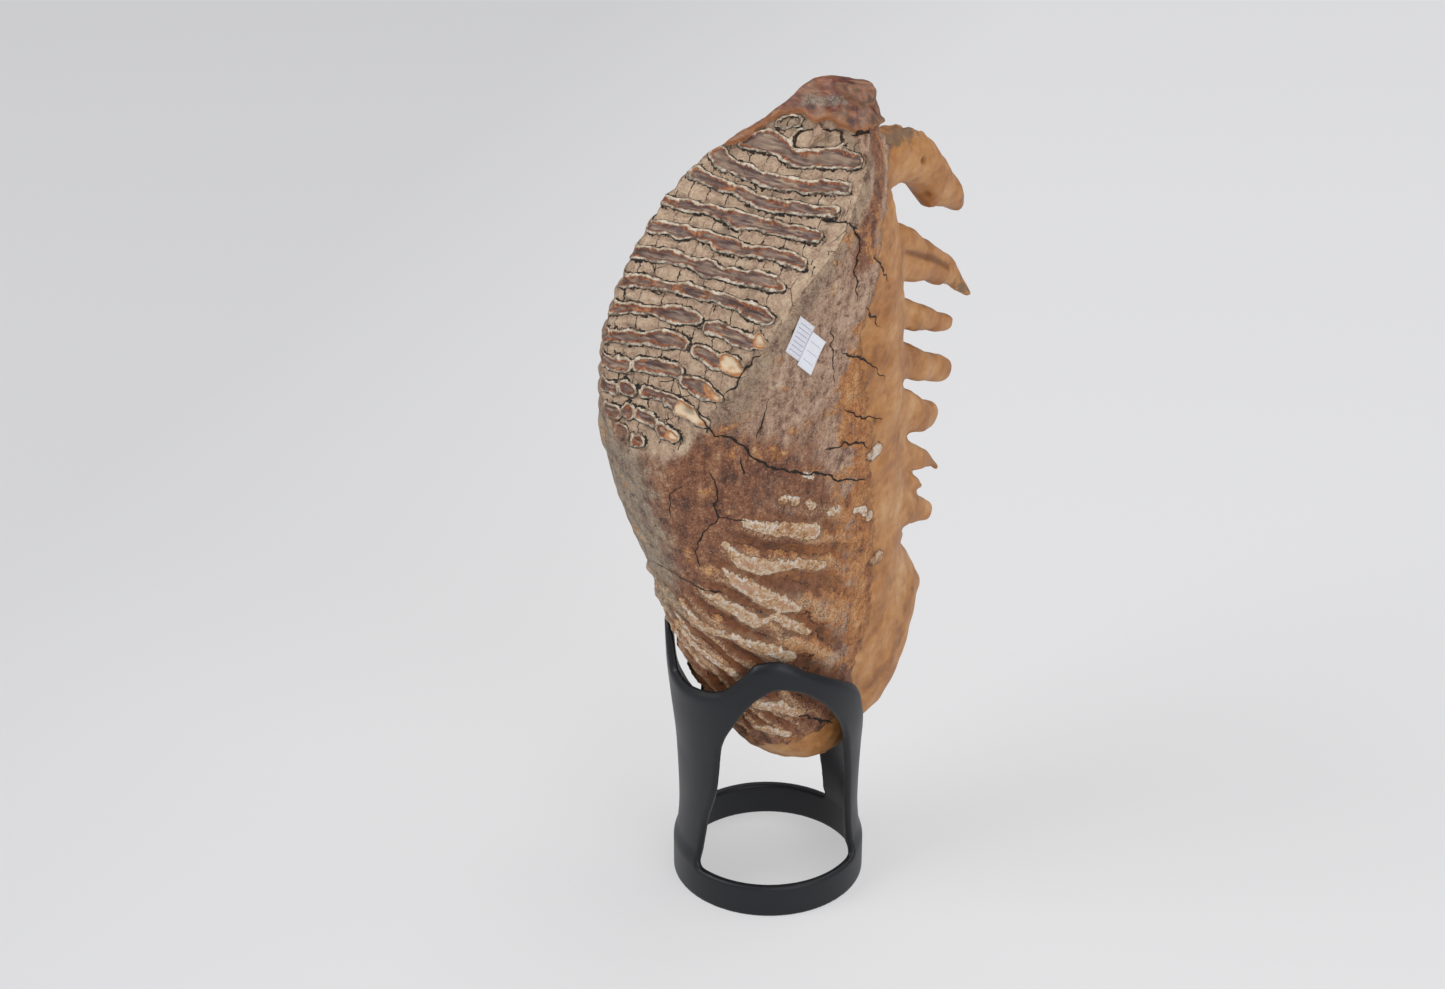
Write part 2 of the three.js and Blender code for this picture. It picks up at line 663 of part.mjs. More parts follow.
// A paper label: a thin sheet that follows the crown's side
function labelSolid({ angle, z, width, height, turn, lift }) {
  const columns = LABEL_CELLS;
  const rows = LABEL_CELLS;
  const centre = crownPoint(z, angle);
  const normal = crownNormal(z, angle);
  const level = new THREE.Vector3(0, 0, 1).cross(normal).normalize();
  const upward = normal.clone().cross(level);
  const tilt = THREE.MathUtils.degToRad(turn);
  const along = level.clone().multiplyScalar(Math.cos(tilt)).addScaledVector(upward, -Math.sin(tilt));
  const rise = level.clone().multiplyScalar(Math.sin(tilt)).addScaledVector(upward, Math.cos(tilt));
  // The sheet bends as the crown does: it falls away from the flat by this much at a place
  const bend = (u, v) => {
    const flat = centre.clone().addScaledVector(along, u).addScaledVector(rise, v);
    let best = angle;
    for (let pass = 0; pass < PLACE_PASSES; pass += 1) {
      const here = crownPoint(flat.z, best);
      const step = crownPoint(flat.z, best + 1).sub(here);
      const turnBy = flat.clone().sub(here).dot(step) / step.lengthSq();
      best += THREE.MathUtils.clamp(turnBy, -LONGEST_TURN, LONGEST_TURN);
    }
    return flat.sub(crownPoint(flat.z, best)).dot(normal);
  };
  const points = [0, 1].flatMap((face) => {
    const sheet = [];
    for (let row = 0; row <= rows; row += 1) {
      for (let column = 0; column <= columns; column += 1) {
        const u = (column / columns - 0.5) * width;
        const v = (row / rows - 0.5) * height;
        sheet.push(centre.clone()
          .addScaledVector(along, u)
          .addScaledVector(rise, v)
          .addScaledVector(normal, lift + face * LABEL_THICKNESS - bend(u, v)));
      }
    }
    return sheet;
  });
  const wide = columns + 1;
  const count = wide * (rows + 1);
  const faces = [];
  for (let row = 0; row < rows; row += 1) {
    for (let column = 0; column < columns; column += 1) {
      const a = row * wide + column;
      const b = a + 1;
      const c = a + wide + 1;
      const d = a + wide;
      faces.push([a, c, b], [a, d, c]);
      faces.push([a + count, b + count, c + count], [a + count, c + count, d + count]);
    }
  }
  const edge = [];
  for (let column = 0; column < columns; column += 1) edge.push(column);
  for (let row = 0; row < rows; row += 1) edge.push(row * wide + columns);
  for (let column = columns; column > 0; column -= 1) edge.push(rows * wide + column);
  for (let row = rows; row > 0; row -= 1) edge.push(row * wide);
  edge.forEach((a, k) => {
    const b = edge[(k + 1) % edge.length];
    faces.push([a, b, b + count], [a, b + count, a + count]);
  });
  return solidFrom(points, faces);
}

// Named mesh of a solid in one material
function meshOf(name, solid, material) {
  const { vertProperties, triVerts } = solid.getMesh();
  const geometry = new THREE.BufferGeometry();
  geometry.setAttribute('position', new THREE.BufferAttribute(new Float32Array(vertProperties), 3));
  geometry.setIndex(new THREE.BufferAttribute(new Uint32Array(triVerts), 1));
  geometry.computeVertexNormals();
  const mesh = new THREE.Mesh(geometry, material);
  mesh.name = name;
  return mesh;
}

const fossil = new THREE.MeshStandardMaterial({ color: 0x9c7b52, roughness: 0.7, metalness: 0 });
const print = new THREE.MeshStandardMaterial({ color: 0x2e2f32, roughness: 0.6, metalness: 0 });
const paper = new THREE.MeshStandardMaterial({ color: 0xe6e6ea, roughness: 0.9, metalness: 0 });

const group = new THREE.Group();
group.position.set(RING_PLACE.x, RING_PLACE.y, 0);
group.add(meshOf('molar', molarSolid(), fossil));
group.add(meshOf('stand', standSolid(), print));
LABELS.forEach((label) => group.add(meshOf(label.name, labelSolid(label), paper)));

export default group;
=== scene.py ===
"""Looks of a mammoth molar that stands upright in a black printed stand, with two small paper labels on its side.

Shapes are worked out in millimetres from the middle of the stand's foot ring, with +Z up. The chewing face looks
towards -Y, the roots point towards +Y and +X is the labelled side. The meshes are in metres, in the CAD frame.
"""

import logging
import math
from dataclasses import dataclass, field
from enum import Enum
from functools import partial
from typing import Any, Callable, Iterable

import bpy
import numpy as np
from mathutils import Matrix, Vector


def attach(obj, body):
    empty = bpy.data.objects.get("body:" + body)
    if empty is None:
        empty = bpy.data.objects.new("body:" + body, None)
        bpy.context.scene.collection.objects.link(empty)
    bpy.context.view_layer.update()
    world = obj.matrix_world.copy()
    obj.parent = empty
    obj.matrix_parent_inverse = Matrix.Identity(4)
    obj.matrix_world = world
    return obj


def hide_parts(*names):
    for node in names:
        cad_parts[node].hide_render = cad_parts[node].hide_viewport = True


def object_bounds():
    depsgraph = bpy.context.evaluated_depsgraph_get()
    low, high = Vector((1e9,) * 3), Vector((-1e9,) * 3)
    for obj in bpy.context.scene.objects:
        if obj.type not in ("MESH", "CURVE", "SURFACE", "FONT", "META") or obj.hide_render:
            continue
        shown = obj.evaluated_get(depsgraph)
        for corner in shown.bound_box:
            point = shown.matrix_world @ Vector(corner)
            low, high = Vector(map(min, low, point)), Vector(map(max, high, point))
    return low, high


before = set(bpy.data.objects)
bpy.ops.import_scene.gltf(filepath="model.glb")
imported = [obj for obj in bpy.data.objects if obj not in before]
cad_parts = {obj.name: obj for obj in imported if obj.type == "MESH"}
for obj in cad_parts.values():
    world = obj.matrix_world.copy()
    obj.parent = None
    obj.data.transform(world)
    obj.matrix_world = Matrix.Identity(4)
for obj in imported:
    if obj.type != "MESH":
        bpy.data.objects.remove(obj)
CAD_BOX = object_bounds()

Array = np.ndarray
Socket = bpy.types.NodeSocket
log = logging.getLogger("molar_scene")

MM = 0.001
# Where the middle of the foot ring lies, from the origin, in millimetres
RING_PLACE = (3.65, -10.74, 0.0)
# Every piece stays this far inside the box of the solids, in millimetres
BOX_MARGIN = 0.04
# Cubes along each side of a block of the grid on which a field is read
GRID_BLOCK = 4
# A block is read closely where a corner is nearer to the skin than this many times the block's side
NEAR_SKIN = 2.2


# ---- curves and fields -------------------------------------------------------------------------------------------


@dataclass(frozen=True)
class Curve:
    """Smooth curve through values at rising places, which never overshoots between them.

    Attributes:
        at: Places, in rising order.
        values: Value at each place.
    """

    at: tuple[float, ...]
    values: tuple[float, ...]

    def __call__(self, place: Array | float) -> Array:
        """Value at each place: a cubic between two neighbours, whose slopes are the harmonic means of the secants.

        Args:
            place: Where the curve is read. Places past an end read the end's value.

        Returns:
            The curve's value at each place.
        """
        t, v = np.asarray(self.at, float), np.asarray(self.values, float)
        secant = np.diff(v) / np.diff(t)
        product = secant[:-1] * secant[1:]
        total = secant[:-1] + secant[1:]
        inner = np.where(product > 0, 2 * product / np.where(product > 0, total, 1), 0)
        slope = np.concatenate([secant[:1], inner, secant[-1:]])
        k = np.clip(np.searchsorted(t, place, side="right") - 1, 0, len(t) - 2)
        span = t[k + 1] - t[k]
        u = np.clip((place - t[k]) / span, 0, 1)
        rise = u * u * (3 - 2 * u)
        bend = span * u * (1 - u) * ((1 - u) * slope[k] - u * slope[k + 1])
        return v[k] * (1 - rise) + v[k + 1] * rise + bend

    def slope(self, place: Array | float, probe: float = 0.05) -> Array:
        """Slope of the curve, from its values a probe's length before and after each place."""
        return (self(place + probe) - self(place - probe)) / (2 * probe)


def fade(value: Array | float, start: float, end: float) -> Array:
    """0 at the start and 1 at the end, with the smooth step 3u² - 2u³ between them; the start may be the higher."""
    u = np.clip((value - start) / (end - start), 0, 1)
    return u * u * (3 - 2 * u)


def smooth_max(a: Array, b: Array, blend: float) -> Array:
    """Larger of two fields, raised by (blend - |a - b|)² / 4 blend where they are closer than the blend."""
    return np.maximum(a, b) + np.maximum(blend - np.abs(a - b), 0) ** 2 / (4 * blend)


def smooth_min(a: Array, b: Array, blend: float) -> Array:
    """Smaller of two fields, rounded where they are closer than the blend."""
    return -smooth_max(-a, -b, blend)


def lumps(points: Array, size: float, seed: int, waves: int = 14) -> Array:
    """Uneven swelling, mostly between -1 and 1: the sum of plane waves in seeded directions, near one wave length.

    Args:
        points: Places, in millimetres.
        size: Mean wave length, in millimetres.
        seed: Number that fixes the directions and phases.
        waves: How many waves are summed.

    Returns:
        One value for each place.
    """
    source = np.random.default_rng(seed)
    way = source.normal(size=(waves, 3))
    way *= (2 * math.pi / (size * source.uniform(0.7, 1.5, waves)) / np.linalg.norm(way, axis=1))[:, None]
    phase = source.uniform(0, 2 * math.pi, waves)
    return np.sin(points @ way.T + phase).sum(-1) / math.sqrt(waves)


def oval_distance(u: Array, v: Array, half_u: Array, half_v: Array, power: Array | float = 2.0) -> Array:
    """Distance to an oval |u/a|^p + |v/b|^p = 1, as its level less one over the level's slope; inside is negative."""
    u, v = np.abs(u) + 1e-6, np.abs(v) + 1e-6
    level = ((u / half_u) ** power + (v / half_v) ** power) ** (1 / power)
    slope_u = (u / half_u / level) ** (power - 1) / half_u
    slope_v = (v / half_v / level) ** (power - 1) / half_v
    return (level - 1) / np.hypot(slope_u, slope_v)


def nearest_on_path(points: Array, path: Array) -> tuple[Array, Array, Array]:
    """Nearest place on a path of straight runs.

    Each point is laid on every run as start + u (end - start), with u held between 0 and 1.

    Args:
        points: Places, n by the number of dimensions.
        path: Corners of the path, in the same dimensions.

    Returns:
        The distance, the place along the path counted in runs, and the direction of the nearest run.
    """
    best = np.full(len(points), np.inf)
    along = np.zeros(len(points))
    way = np.zeros_like(points)
    for k, (start, end) in enumerate(zip(path[:-1], path[1:])):
        run = end - start
        u = np.clip((points - start) @ run / (run @ run), 0, 1)
        distance = np.linalg.norm(points - start - u[:, None] * run, axis=1)
        closer = distance < best
        best = np.where(closer, distance, best)
        along = np.where(closer, k + u, along)
        way[closer] = run / np.linalg.norm(run)
    return best, along, way


def slopes_of(shape: Callable[[Array], Array], points: Array, probe: float) -> Array:
    """Gradient of a field, from its values a probe's length to both sides along each axis."""
    steps = np.eye(3) * probe
    return np.stack([(shape(points + step) - shape(points - step)) / (2 * probe) for step in steps], -1)


def field_on_grid(shape: Callable[[Array], Array], low: Array, counts: Array, cell: float, block: int) -> Array:
    """Field on a grid of places, read closely only where its skin may pass.

    The corners of blocks of cubes are read first. A block with a corner nearer to the skin than a little over the
    block's diagonal is read at every place, and the others take the value of their lowest corner.

    Args:
        shape: The field.
        low: Lowest corner of the grid, in millimetres.
        counts: Number of places along each axis, a whole number of blocks and one more.
        cell: Distance between two places.
        block: Cubes along each side of a block.

    Returns:
        One value for each place of the grid.
    """
    coarse = np.stack(np.meshgrid(*(low[k] + cell * block * np.arange(counts[k] // block + 1) for k in range(3)),
                                  indexing="ij"), -1)
    value = shape(coarse.reshape(-1, 3)).reshape(coarse.shape[:3])
    near = np.abs(value) < cell * block * NEAR_SKIN
    blocks = np.zeros(np.array(value.shape) - 1, bool)
    places = np.zeros(counts, bool)
    for corner in np.ndindex(2, 2, 2):
        cut = tuple(slice(one, size - 1 + one) for one, size in zip(corner, near.shape))
        blocks |= near[cut]
    cubes = blocks.repeat(block, 0).repeat(block, 1).repeat(block, 2)
    for corner in np.ndindex(2, 2, 2):
        cut = tuple(slice(one, size - 1 + one) for one, size in zip(corner, counts))
        places[cut] |= cubes
    whole = value.repeat(block, 0).repeat(block, 1).repeat(block, 2)[: counts[0], : counts[1], : counts[2]].copy()
    wanted = low + cell * np.argwhere(places)
    whole[places] = np.concatenate([shape(part) for part in np.array_split(wanted, 6)])
    return whole


def skin_of(shape: Callable[[Array], Array], low: tuple[float, ...], high: tuple[float, ...],
            cell: float) -> tuple[Array, Array]:
    """Closed skin where a field is zero, with the field's inside negative.

    The field is read on a grid of cubes. Each cube that the skin passes through gets one point, the mean of the
    places where it crosses the cube's edges, and each edge that it crosses gets one four-sided face through the
    cubes around it. Each point is then moved on to the skin by the field's value over its slope, twice.

    Args:
        shape: The field.
        low: Lowest corner of the grid, in millimetres.
        high: Highest corner of the grid, in millimetres.
        cell: Side of a cube, in millimetres.

    Returns:
        The points and the faces.
    """
    start, size = np.array(low), np.array(high) - low
    counts = np.ceil(size / (cell * GRID_BLOCK)).astype(int) * GRID_BLOCK + 1
    value = field_on_grid(shape, start, counts, cell, GRID_BLOCK)
    total = np.zeros((*(counts - 1), 3))
    number = np.zeros(counts - 1)
    crossings = []
    for axis in range(3):
        turned = np.moveaxis(value, axis, 0)
        first, second = turned[:-1], turned[1:]
        crossing = (first < 0) != (second < 0)
        part = np.where(crossing, first / np.where(crossing, first - second, 1), 0)
        crossings.append((crossing, first < 0))
        others = [k for k in range(3) if k != axis]
        sums, seen = np.moveaxis(total, axis, 0), np.moveaxis(number, axis, 0)
        for one in (0, 1):
            for two in (0, 1):
                cut = (slice(None), slice(one, crossing.shape[1] - 1 + one), slice(two, crossing.shape[2] - 1 + two))
                seen += crossing[cut]
                sums[..., axis] += part[cut]
                sums[..., others[0]] += one * crossing[cut]
                sums[..., others[1]] += two * crossing[cut]
    used = number > 0
    index = np.full(used.shape, -1)
    index[used] = np.arange(used.sum())
    points = start + cell * (np.argwhere(used) + total[used] / number[used][:, None])
    faces = []
    for axis, (crossing, inside_first) in enumerate(crossings):
        order = (axis, (axis + 1) % 3, (axis + 2) % 3)
        others = [k for k in range(3) if k != axis]
        if order[1] != others[0]:
            crossing, inside_first = crossing.transpose(0, 2, 1), inside_first.transpose(0, 2, 1)
        cubes = index.transpose(order)
        i, j, k = np.nonzero(crossing[:, 1:-1, 1:-1])
        quad = np.stack([cubes[i, j, k], cubes[i, j + 1, k], cubes[i, j + 1, k + 1], cubes[i, j, k + 1]], -1)
        outward = inside_first[:, 1:-1, 1:-1][i, j, k]
        faces.append(np.where(outward[:, None], quad, quad[:, ::-1]))
    for _ in range(2):
        slope = slopes_of(shape, points, 0.2 * cell)
        step = shape(points)[:, None] * slope / np.maximum((slope**2).sum(-1, keepdims=True), 0.05)
        points = points - np.clip(step, -0.7 * cell, 0.7 * cell)
    return points, np.concatenate(faces)


def grid_faces(rows: int, columns: int, closed: bool) -> Array:
    """Four-sided faces between the rows and columns of a grid; a closed grid's last column meets its first."""
    steps = columns if closed else columns - 1
    i, j = np.meshgrid(np.arange(rows - 1), np.arange(steps), indexing="ij")
    after = (j + 1) % columns
    quads = [i * columns + j, i * columns + after, (i + 1) * columns + after, (i + 1) * columns + j]
    return np.stack(quads, -1).reshape(-1, 4)


def mesh_piece(name: str, points: Array, faces: list[Array], marks: dict[str, Array] | None = None) -> bpy.types.Object:
    """Puts points and faces into a mesh in the CAD frame, with every point moved inside the box of the solids.

    Args:
        name: Name of the piece.
        points: Points in millimetres, from the middle of the foot ring.
        faces: Arrays of faces, one for each number of corners.
        marks: Values for each point, which the materials read as attributes.

    Returns:
        The new object, at the origin, smooth shaded.
    """
    low, high = np.array(CAD_BOX[0]) / MM + BOX_MARGIN, np.array(CAD_BOX[1]) / MM - BOX_MARGIN
    placed = np.clip(points + np.array(RING_PLACE), low, high) * MM
    mesh = bpy.data.meshes.new(name)
    mesh.from_pydata(placed.tolist(), [], [face for group in faces for face in group.tolist()])
    for key, values in (marks or {}).items():
        mesh.attributes.new(key, "FLOAT", "POINT").data.foreach_set("value", values.astype(np.float32))
    mesh.shade_smooth()
    mesh.update()
    piece = bpy.data.objects.new(name, mesh)
    bpy.context.scene.collection.objects.link(piece)
    return piece


# ---- materials ---------------------------------------------------------------------------------------------------


def linear(code: str) -> tuple[float, float, float, float]:
    """Linear colour of an sRGB hex code such as #A08D70."""
    parts = np.array([int(code[k : k + 2], 16) / 255 for k in (1, 3, 5)])
    values = np.where(parts <= 0.04045, parts / 12.92, ((parts + 0.055) / 1.055) ** 2.4)
    return (*values.tolist(), 1.0)


def per_metre(millimetres: float) -> float:
    """Scale of a pattern whose features are this many millimetres apart."""
    return 1 / (millimetres * MM)


def add_node(tree: bpy.types.NodeTree, kind: str, inputs: dict[Any, Any] | None = None, output: Any = 0,
             **settings: Any) -> Socket:
    """Adds a node with its settings, its values and the links into it.

    Args:
        tree: Node tree of a material.
        kind: Type of node, without the leading ShaderNode.
        inputs: Value, hex colour or linked output for each input, by name or number.
        output: Name or number of the output that is wanted.
        **settings: Properties of the node; stops gives a colour ramp's places and colours.

    Returns:
        The wanted output.
    """
    node = tree.nodes.new("ShaderNode" + kind)
    stops = settings.pop("stops", ())
    for key, value in settings.items():
        setattr(node, key, value)
    for k, (place, code) in enumerate(stops):
        elements = node.color_ramp.elements
        element = elements[k] if k < len(elements) else elements.new(1.0)
        element.position, element.color = place, linear(code)
    for key, value in (inputs or {}).items():
        if isinstance(value, Socket):
            tree.links.new(value, node.inputs[key])
        else:
            node.inputs[key].default_value = linear(value) if isinstance(value, str) else value
    return node.outputs[output] if len(node.outputs) else None


def new_material(name: str) -> tuple[bpy.types.Material, Callable[..., Socket]]:
    """An empty node material, and the function that adds a node to it."""
    material = bpy.data.materials.new(name)
    material.use_nodes = True
    material.node_tree.nodes.clear()
    return material, partial(add_node, material.node_tree)


COLOURS = {"data_type": "RGBA", "output": 2}
EASED = {"interpolation_type": "SMOOTHSTEP"}

Nodes = Callable[..., Socket]
Sockets = dict[str, Socket]


def weighed(node: Nodes, terms: Iterable[tuple[Socket, float]], start: Socket | float = 0.0) -> Socket:
    """Sum of a start and some values, each times its weight."""
    total = start
    for value, weight in terms:
        total = node("Math", {0: value, 1: weight, 2: total}, operation="MULTIPLY_ADD")
    return total


def ragged(node: Nodes, value: Socket, cloud: Socket, size: float) -> Socket:
    """Value to which a cloudy pattern, less its mean of a half, is added times a size."""
    swing = node("Math", {0: cloud, 1: 0.5}, operation="SUBTRACT")
    return weighed(node, [(swing, size)], value)


def painted(node: Nodes, colour: Socket | str, coats: Iterable[tuple[Socket, float, float, float, Any]]) -> Socket:
    """Lays coats of colour over one another, each where a value passes between two limits.

    Args:
        node: Adds a node.
        colour: Colour that lies below.
        coats: For each, the value, its limits without and with the coat, the coat's opacity and its colour.

    Returns:
        The colour with its coats.
    """
    for value, without, fully, opacity, tone in coats:
        part = node("MapRange", {0: value, 1: without, 2: fully, 4: opacity}, **EASED)
        colour = node("Mix", {0: part, 6: colour, 7: tone}, **COLOURS)
    return colour


@dataclass(frozen=True)
class FossilFinish:
    """Fossil tooth: grey-tan cement that is cracked on the chewing face, reddish and ochre stains, cream enamel.

    Minerals stained it in the ground and handling polished its proud parts, so the colour is patchy at every size,
    the cement is dull and grainy, and the enamel and the roots have a satin sheen. The sizes of the patterns are in
    millimetres.
    """

    name: str = "fossil_tooth_mineral_stained"
    ior: float = 1.52
    stain: float = 19.0
    cloud: float = 6.5
    mottle: float = 2.6
    grain: float = 0.75
    fine: float = 0.38
    folds: float = 3.4
    block: float = 8.5
    crack_jag: float = 1.8
    crackle: float = 3.6
    root_line: float = 1.6
    rubble: float = 1.7
    swirl: float = 4.2
    crinkle: float = 1.5
    streak: float = 1.2
    flaw: float = 7.5

    def build(self) -> bpy.types.Material:
        """Material whose colour, roughness and relief follow the marks on the molar's points."""
        material, node = new_material(self.name)
        place = node("TexCoord", output="Object")
        marks = {name: node("Attribute", attribute_name=name, output="Fac") for name in MARKS}
        drawn = node("Mapping", {"Vector": place, "Scale": (1.0, 1.0, 0.27)})
        clouds = {"place": place} | {
            name: node("TexNoise", {"Vector": vector, "Scale": per_metre(size), "Detail": detail, "Roughness": rough})
            for name, vector, size, detail, rough in (
                ("stain", place, self.stain, 6.0, 0.64), ("cloud", place, self.cloud, 6.0, 0.64),
                ("mottle", place, self.mottle, 4.0, 0.68), ("grain", place, self.grain, 3.0, 0.6),
                ("fine", place, self.fine, 2.0, 0.5), ("folds", drawn, self.folds, 4.0, 0.64))}
        side, root_part, patch_part = self.side(node, marks, clouds)
        worn, ridge, gap = self.chewing_face(node, marks, clouds)
        edge = ragged(node, marks["face"], clouds["cloud"], 9.0)
        face_part = node("MapRange", {0: edge, 1: -0.5, 2: 2.5}, **EASED)
        crest_part = node("MapRange", {0: marks["crest"], 1: -0.35, 2: 0.15}, **EASED)
        face_part = node("Math", {0: face_part, 1: crest_part}, operation="SUBTRACT", use_clamp=True)
        colour = node("Mix", {0: face_part, 6: side, 7: worn}, **COLOURS)
        colour = node("Mix", {0: crest_part, 6: colour, 7: self.crest(node, marks, clouds)}, **COLOURS)

        # Darker where the relief is low, and paler where it stands proud
        colour = painted(node, colour, (
            (marks["height"], -0.5, -1.3, 0.55, "#3A2A1F"), (marks["height"], 0.4, 1.1, 0.14, "#C9AE8B")))
        crack = self.crack(node, marks, clouds)
        colour = node("Mix", {0: crack, 6: colour, 7: "#1C1410"}, **COLOURS)

        # Relief in millimetres, each part with its own height
        rugged = node("Math", {0: 1.0, 1: face_part}, operation="SUBTRACT")
        for part in (root_part, crest_part):
            smooth = node("Math", {0: part, 1: -0.85, 2: 1.0}, operation="MULTIPLY_ADD")
            rugged = node("Math", {0: rugged, 1: smooth}, operation="MULTIPLY")
        height: Socket | float = 0.0
        for source, part, amount in (
            (clouds["cloud"], rugged, 0.8), (clouds["folds"], rugged, 0.9), (clouds["mottle"], rugged, 0.55),
            (clouds["grain"], rugged, 0.3), (clouds["mottle"], face_part, 0.3), (clouds["grain"], face_part, 0.22),
            (clouds["fine"], 1.0, 0.07), (crack, 1.0, -1.1), (ridge, face_part, 0.45), (gap, face_part, -0.8),
            (clouds["mottle"], patch_part, 1.9),
        ):
            scaled = node("Math", {0: source, 1: part}, operation="MULTIPLY")
            height = node("Math", {0: scaled, 1: amount, 2: height}, operation="MULTIPLY_ADD")
        bump = node("Bump", {"Height": height, "Strength": 0.85, "Distance": MM})
        rough = node("MapRange", {0: clouds["cloud"], 1: 0.35, 2: 0.65, 3: 0.56, 4: 0.7})
        rough = weighed(node, ((root_part, -0.1), (face_part, 0.08), (patch_part, -0.1), (crest_part, -0.18)), rough)
        shader = node("BsdfPrincipled", {"Base Color": colour, "Roughness": rough, "IOR": self.ior, "Normal": bump,
                                         "Specular IOR Level": 0.4})
        node("OutputMaterial", {"Surface": shader})
        return material

    def crack(self, node: Nodes, marks: Sockets, clouds: Sockets) -> Socket:
        """Part that lies in a crack: the marked distance, over the crack's half width, made jagged."""
        jagged = node("TexNoise", {"Vector": clouds["place"], "Scale": per_metre(self.crack_jag), "Detail": 3.0})
        jagged = node("Math", {0: ragged(node, marks["crack_side"], jagged, 4.4)}, operation="ABSOLUTE")
        crack = node("MapRange", {0: jagged, 1: 1.3, 2: 0.7}, **EASED)
        close = node("MapRange", {0: marks["crack_near"], 1: 2.6, 2: 1.6}, **EASED)
        return node("Math", {0: crack, 1: close}, operation="MULTIPLY")

    def side(self, node: Nodes, marks: Sockets, clouds: Sockets) -> tuple[Socket, ...]:
        """Colour off the chewing face: grey-tan cement, reddish and ochre stains, smooth ochre roots, cream enamel.

        Args:
            node: Adds a node.
            marks: Outputs that read the marks.
            clouds: Outputs of the shared cloudy patterns.

        Returns:
            The colour, the part that is root and the part that is bare enamel.
        """
        mixed = weighed(node, ((clouds["cloud"], 0.36), (clouds["folds"], 0.24), (clouds["mottle"], 0.22),
                               (clouds["grain"], 0.18)))
        tan, ruddy, ochre, grey, olive = (node("ValToRGB", {0: mixed}, stops=stops) for stops in (
            ((0.41, "#644638"), (0.46, "#94745F"), (0.505, "#B2917A"), (0.555, "#C6A88F"), (0.61, "#D8C3AA")),
            ((0.41, "#482A1B"), (0.46, "#6C422D"), (0.51, "#86563C"), (0.56, "#9D6F50"), (0.63, "#BE9873")),
            ((0.41, "#70401F"), (0.46, "#985E32"), (0.51, "#B27643"), (0.56, "#C38C58"), (0.63, "#D3A679")),
            ((0.41, "#5C4E44"), (0.47, "#847464"), (0.53, "#9D8C77"), (0.62, "#B8A993")),
            ((0.41, "#664E3F"), (0.46, "#8A715E"), (0.51, "#A18972"), (0.59, "#B7A188"))))
        uneven = node("Math", {0: clouds["stain"], 1: clouds["cloud"]}, operation="ADD")
        uneven = node("Math", {0: uneven, 1: 1.0}, operation="SUBTRACT")
        # The ruddy and ochre marks also carry painted shade of the stand: darker red-brown low on the side
        stains = [(weighed(node, [(uneven, size)], marks[mark]), start, end, 1.0, tone)
                  for mark, size, start, end, tone in (
                      ("face", 16.0, -12.0, -3.0, olive), ("ruddy", 1.8, 0.15, 0.9, ruddy),
                      ("greyness", 1.5, 0.25, 0.85, grey), ("ochre", 2.8, 0.35, 0.7, ochre))]
        colour = painted(node, tan, [*stains, (clouds["grain"], 0.54, 0.66, 0.3, "#C09E7A")])
        dark = node("MapRange", {0: clouds["mottle"], 1: 0.4, 2: 0.3, 4: 0.7}, **EASED)
        specks = node("MapRange", {0: clouds["fine"], 1: 0.42, 2: 0.32, 4: 0.6}, **EASED)
        dark = node("Math", {0: dark, 1: specks}, operation="MAXIMUM")
        crackle = node("Math", {0: clouds["mottle"], 1: 0.0022}, operation="MULTIPLY")
        crackle = node("VectorMath", {0: clouds["place"], 1: crackle}, operation="ADD")
        crackle = node("TexVoronoi", {"Vector": crackle, "Scale": per_metre(self.crackle)}, feature="DISTANCE_TO_EDGE")
        crackle = node("MapRange", {0: crackle, 1: 0.05, 2: 0.02}, **EASED)
        flawed = node("MapRange", {0: clouds["cloud"], 1: 0.49, 2: 0.57, 4: 0.55}, **EASED)
        crackle = node("Math", {0: crackle, 1: flawed}, operation="MULTIPLY")
        dark = node("Math", {0: dark, 1: crackle}, operation="MAXIMUM")
        colour = node("Mix", {0: dark, 6: colour, 7: "#45291C"}, **COLOURS)
        colour = self.ribbed(node, marks, clouds, colour)

        # Roots: almost even, with faint lines along them
        along = node("Mapping", {"Vector": clouds["place"], "Scale": (1.0, 0.2, 0.45)})
        lines = node("TexNoise", {"Vector": along, "Scale": per_metre(self.root_line), "Detail": 2.0})
        lines = weighed(node, ((lines, 0.16), (clouds["cloud"], 0.3), (clouds["stain"], 0.54)))
        root = node("ValToRGB", {0: lines}, stops=(
            (0.38, "#8E5B2D"), (0.45, "#A56D39"), (0.51, "#B47D47"), (0.57, "#BF8C58"), (0.66, "#CBA278")))
        soiled = weighed(node, [(clouds["mottle"], 16.0)], marks["soiled"])
        # The groove coat is painted shade in the pit, groove and hollow of the roots
        root = painted(node, root, (
            (clouds["cloud"], 0.38, 0.28, 0.5, "#6B4529"), (clouds["folds"], 0.57, 0.66, 0.2, "#9C8166"),
            (marks["groove"], 1.5, -0.4, 0.85, "#714117"), (soiled, 7.5, 5.0, 0.75, "#6A5B4A")))
        edge = ragged(node, marks["rootward"], clouds["cloud"], 16.0)
        root_part = node("MapRange", {0: edge, 1: -1.2, 2: 1.6}, **EASED)
        colour = node("Mix", {0: root_part, 6: colour, 7: root}, **COLOURS)

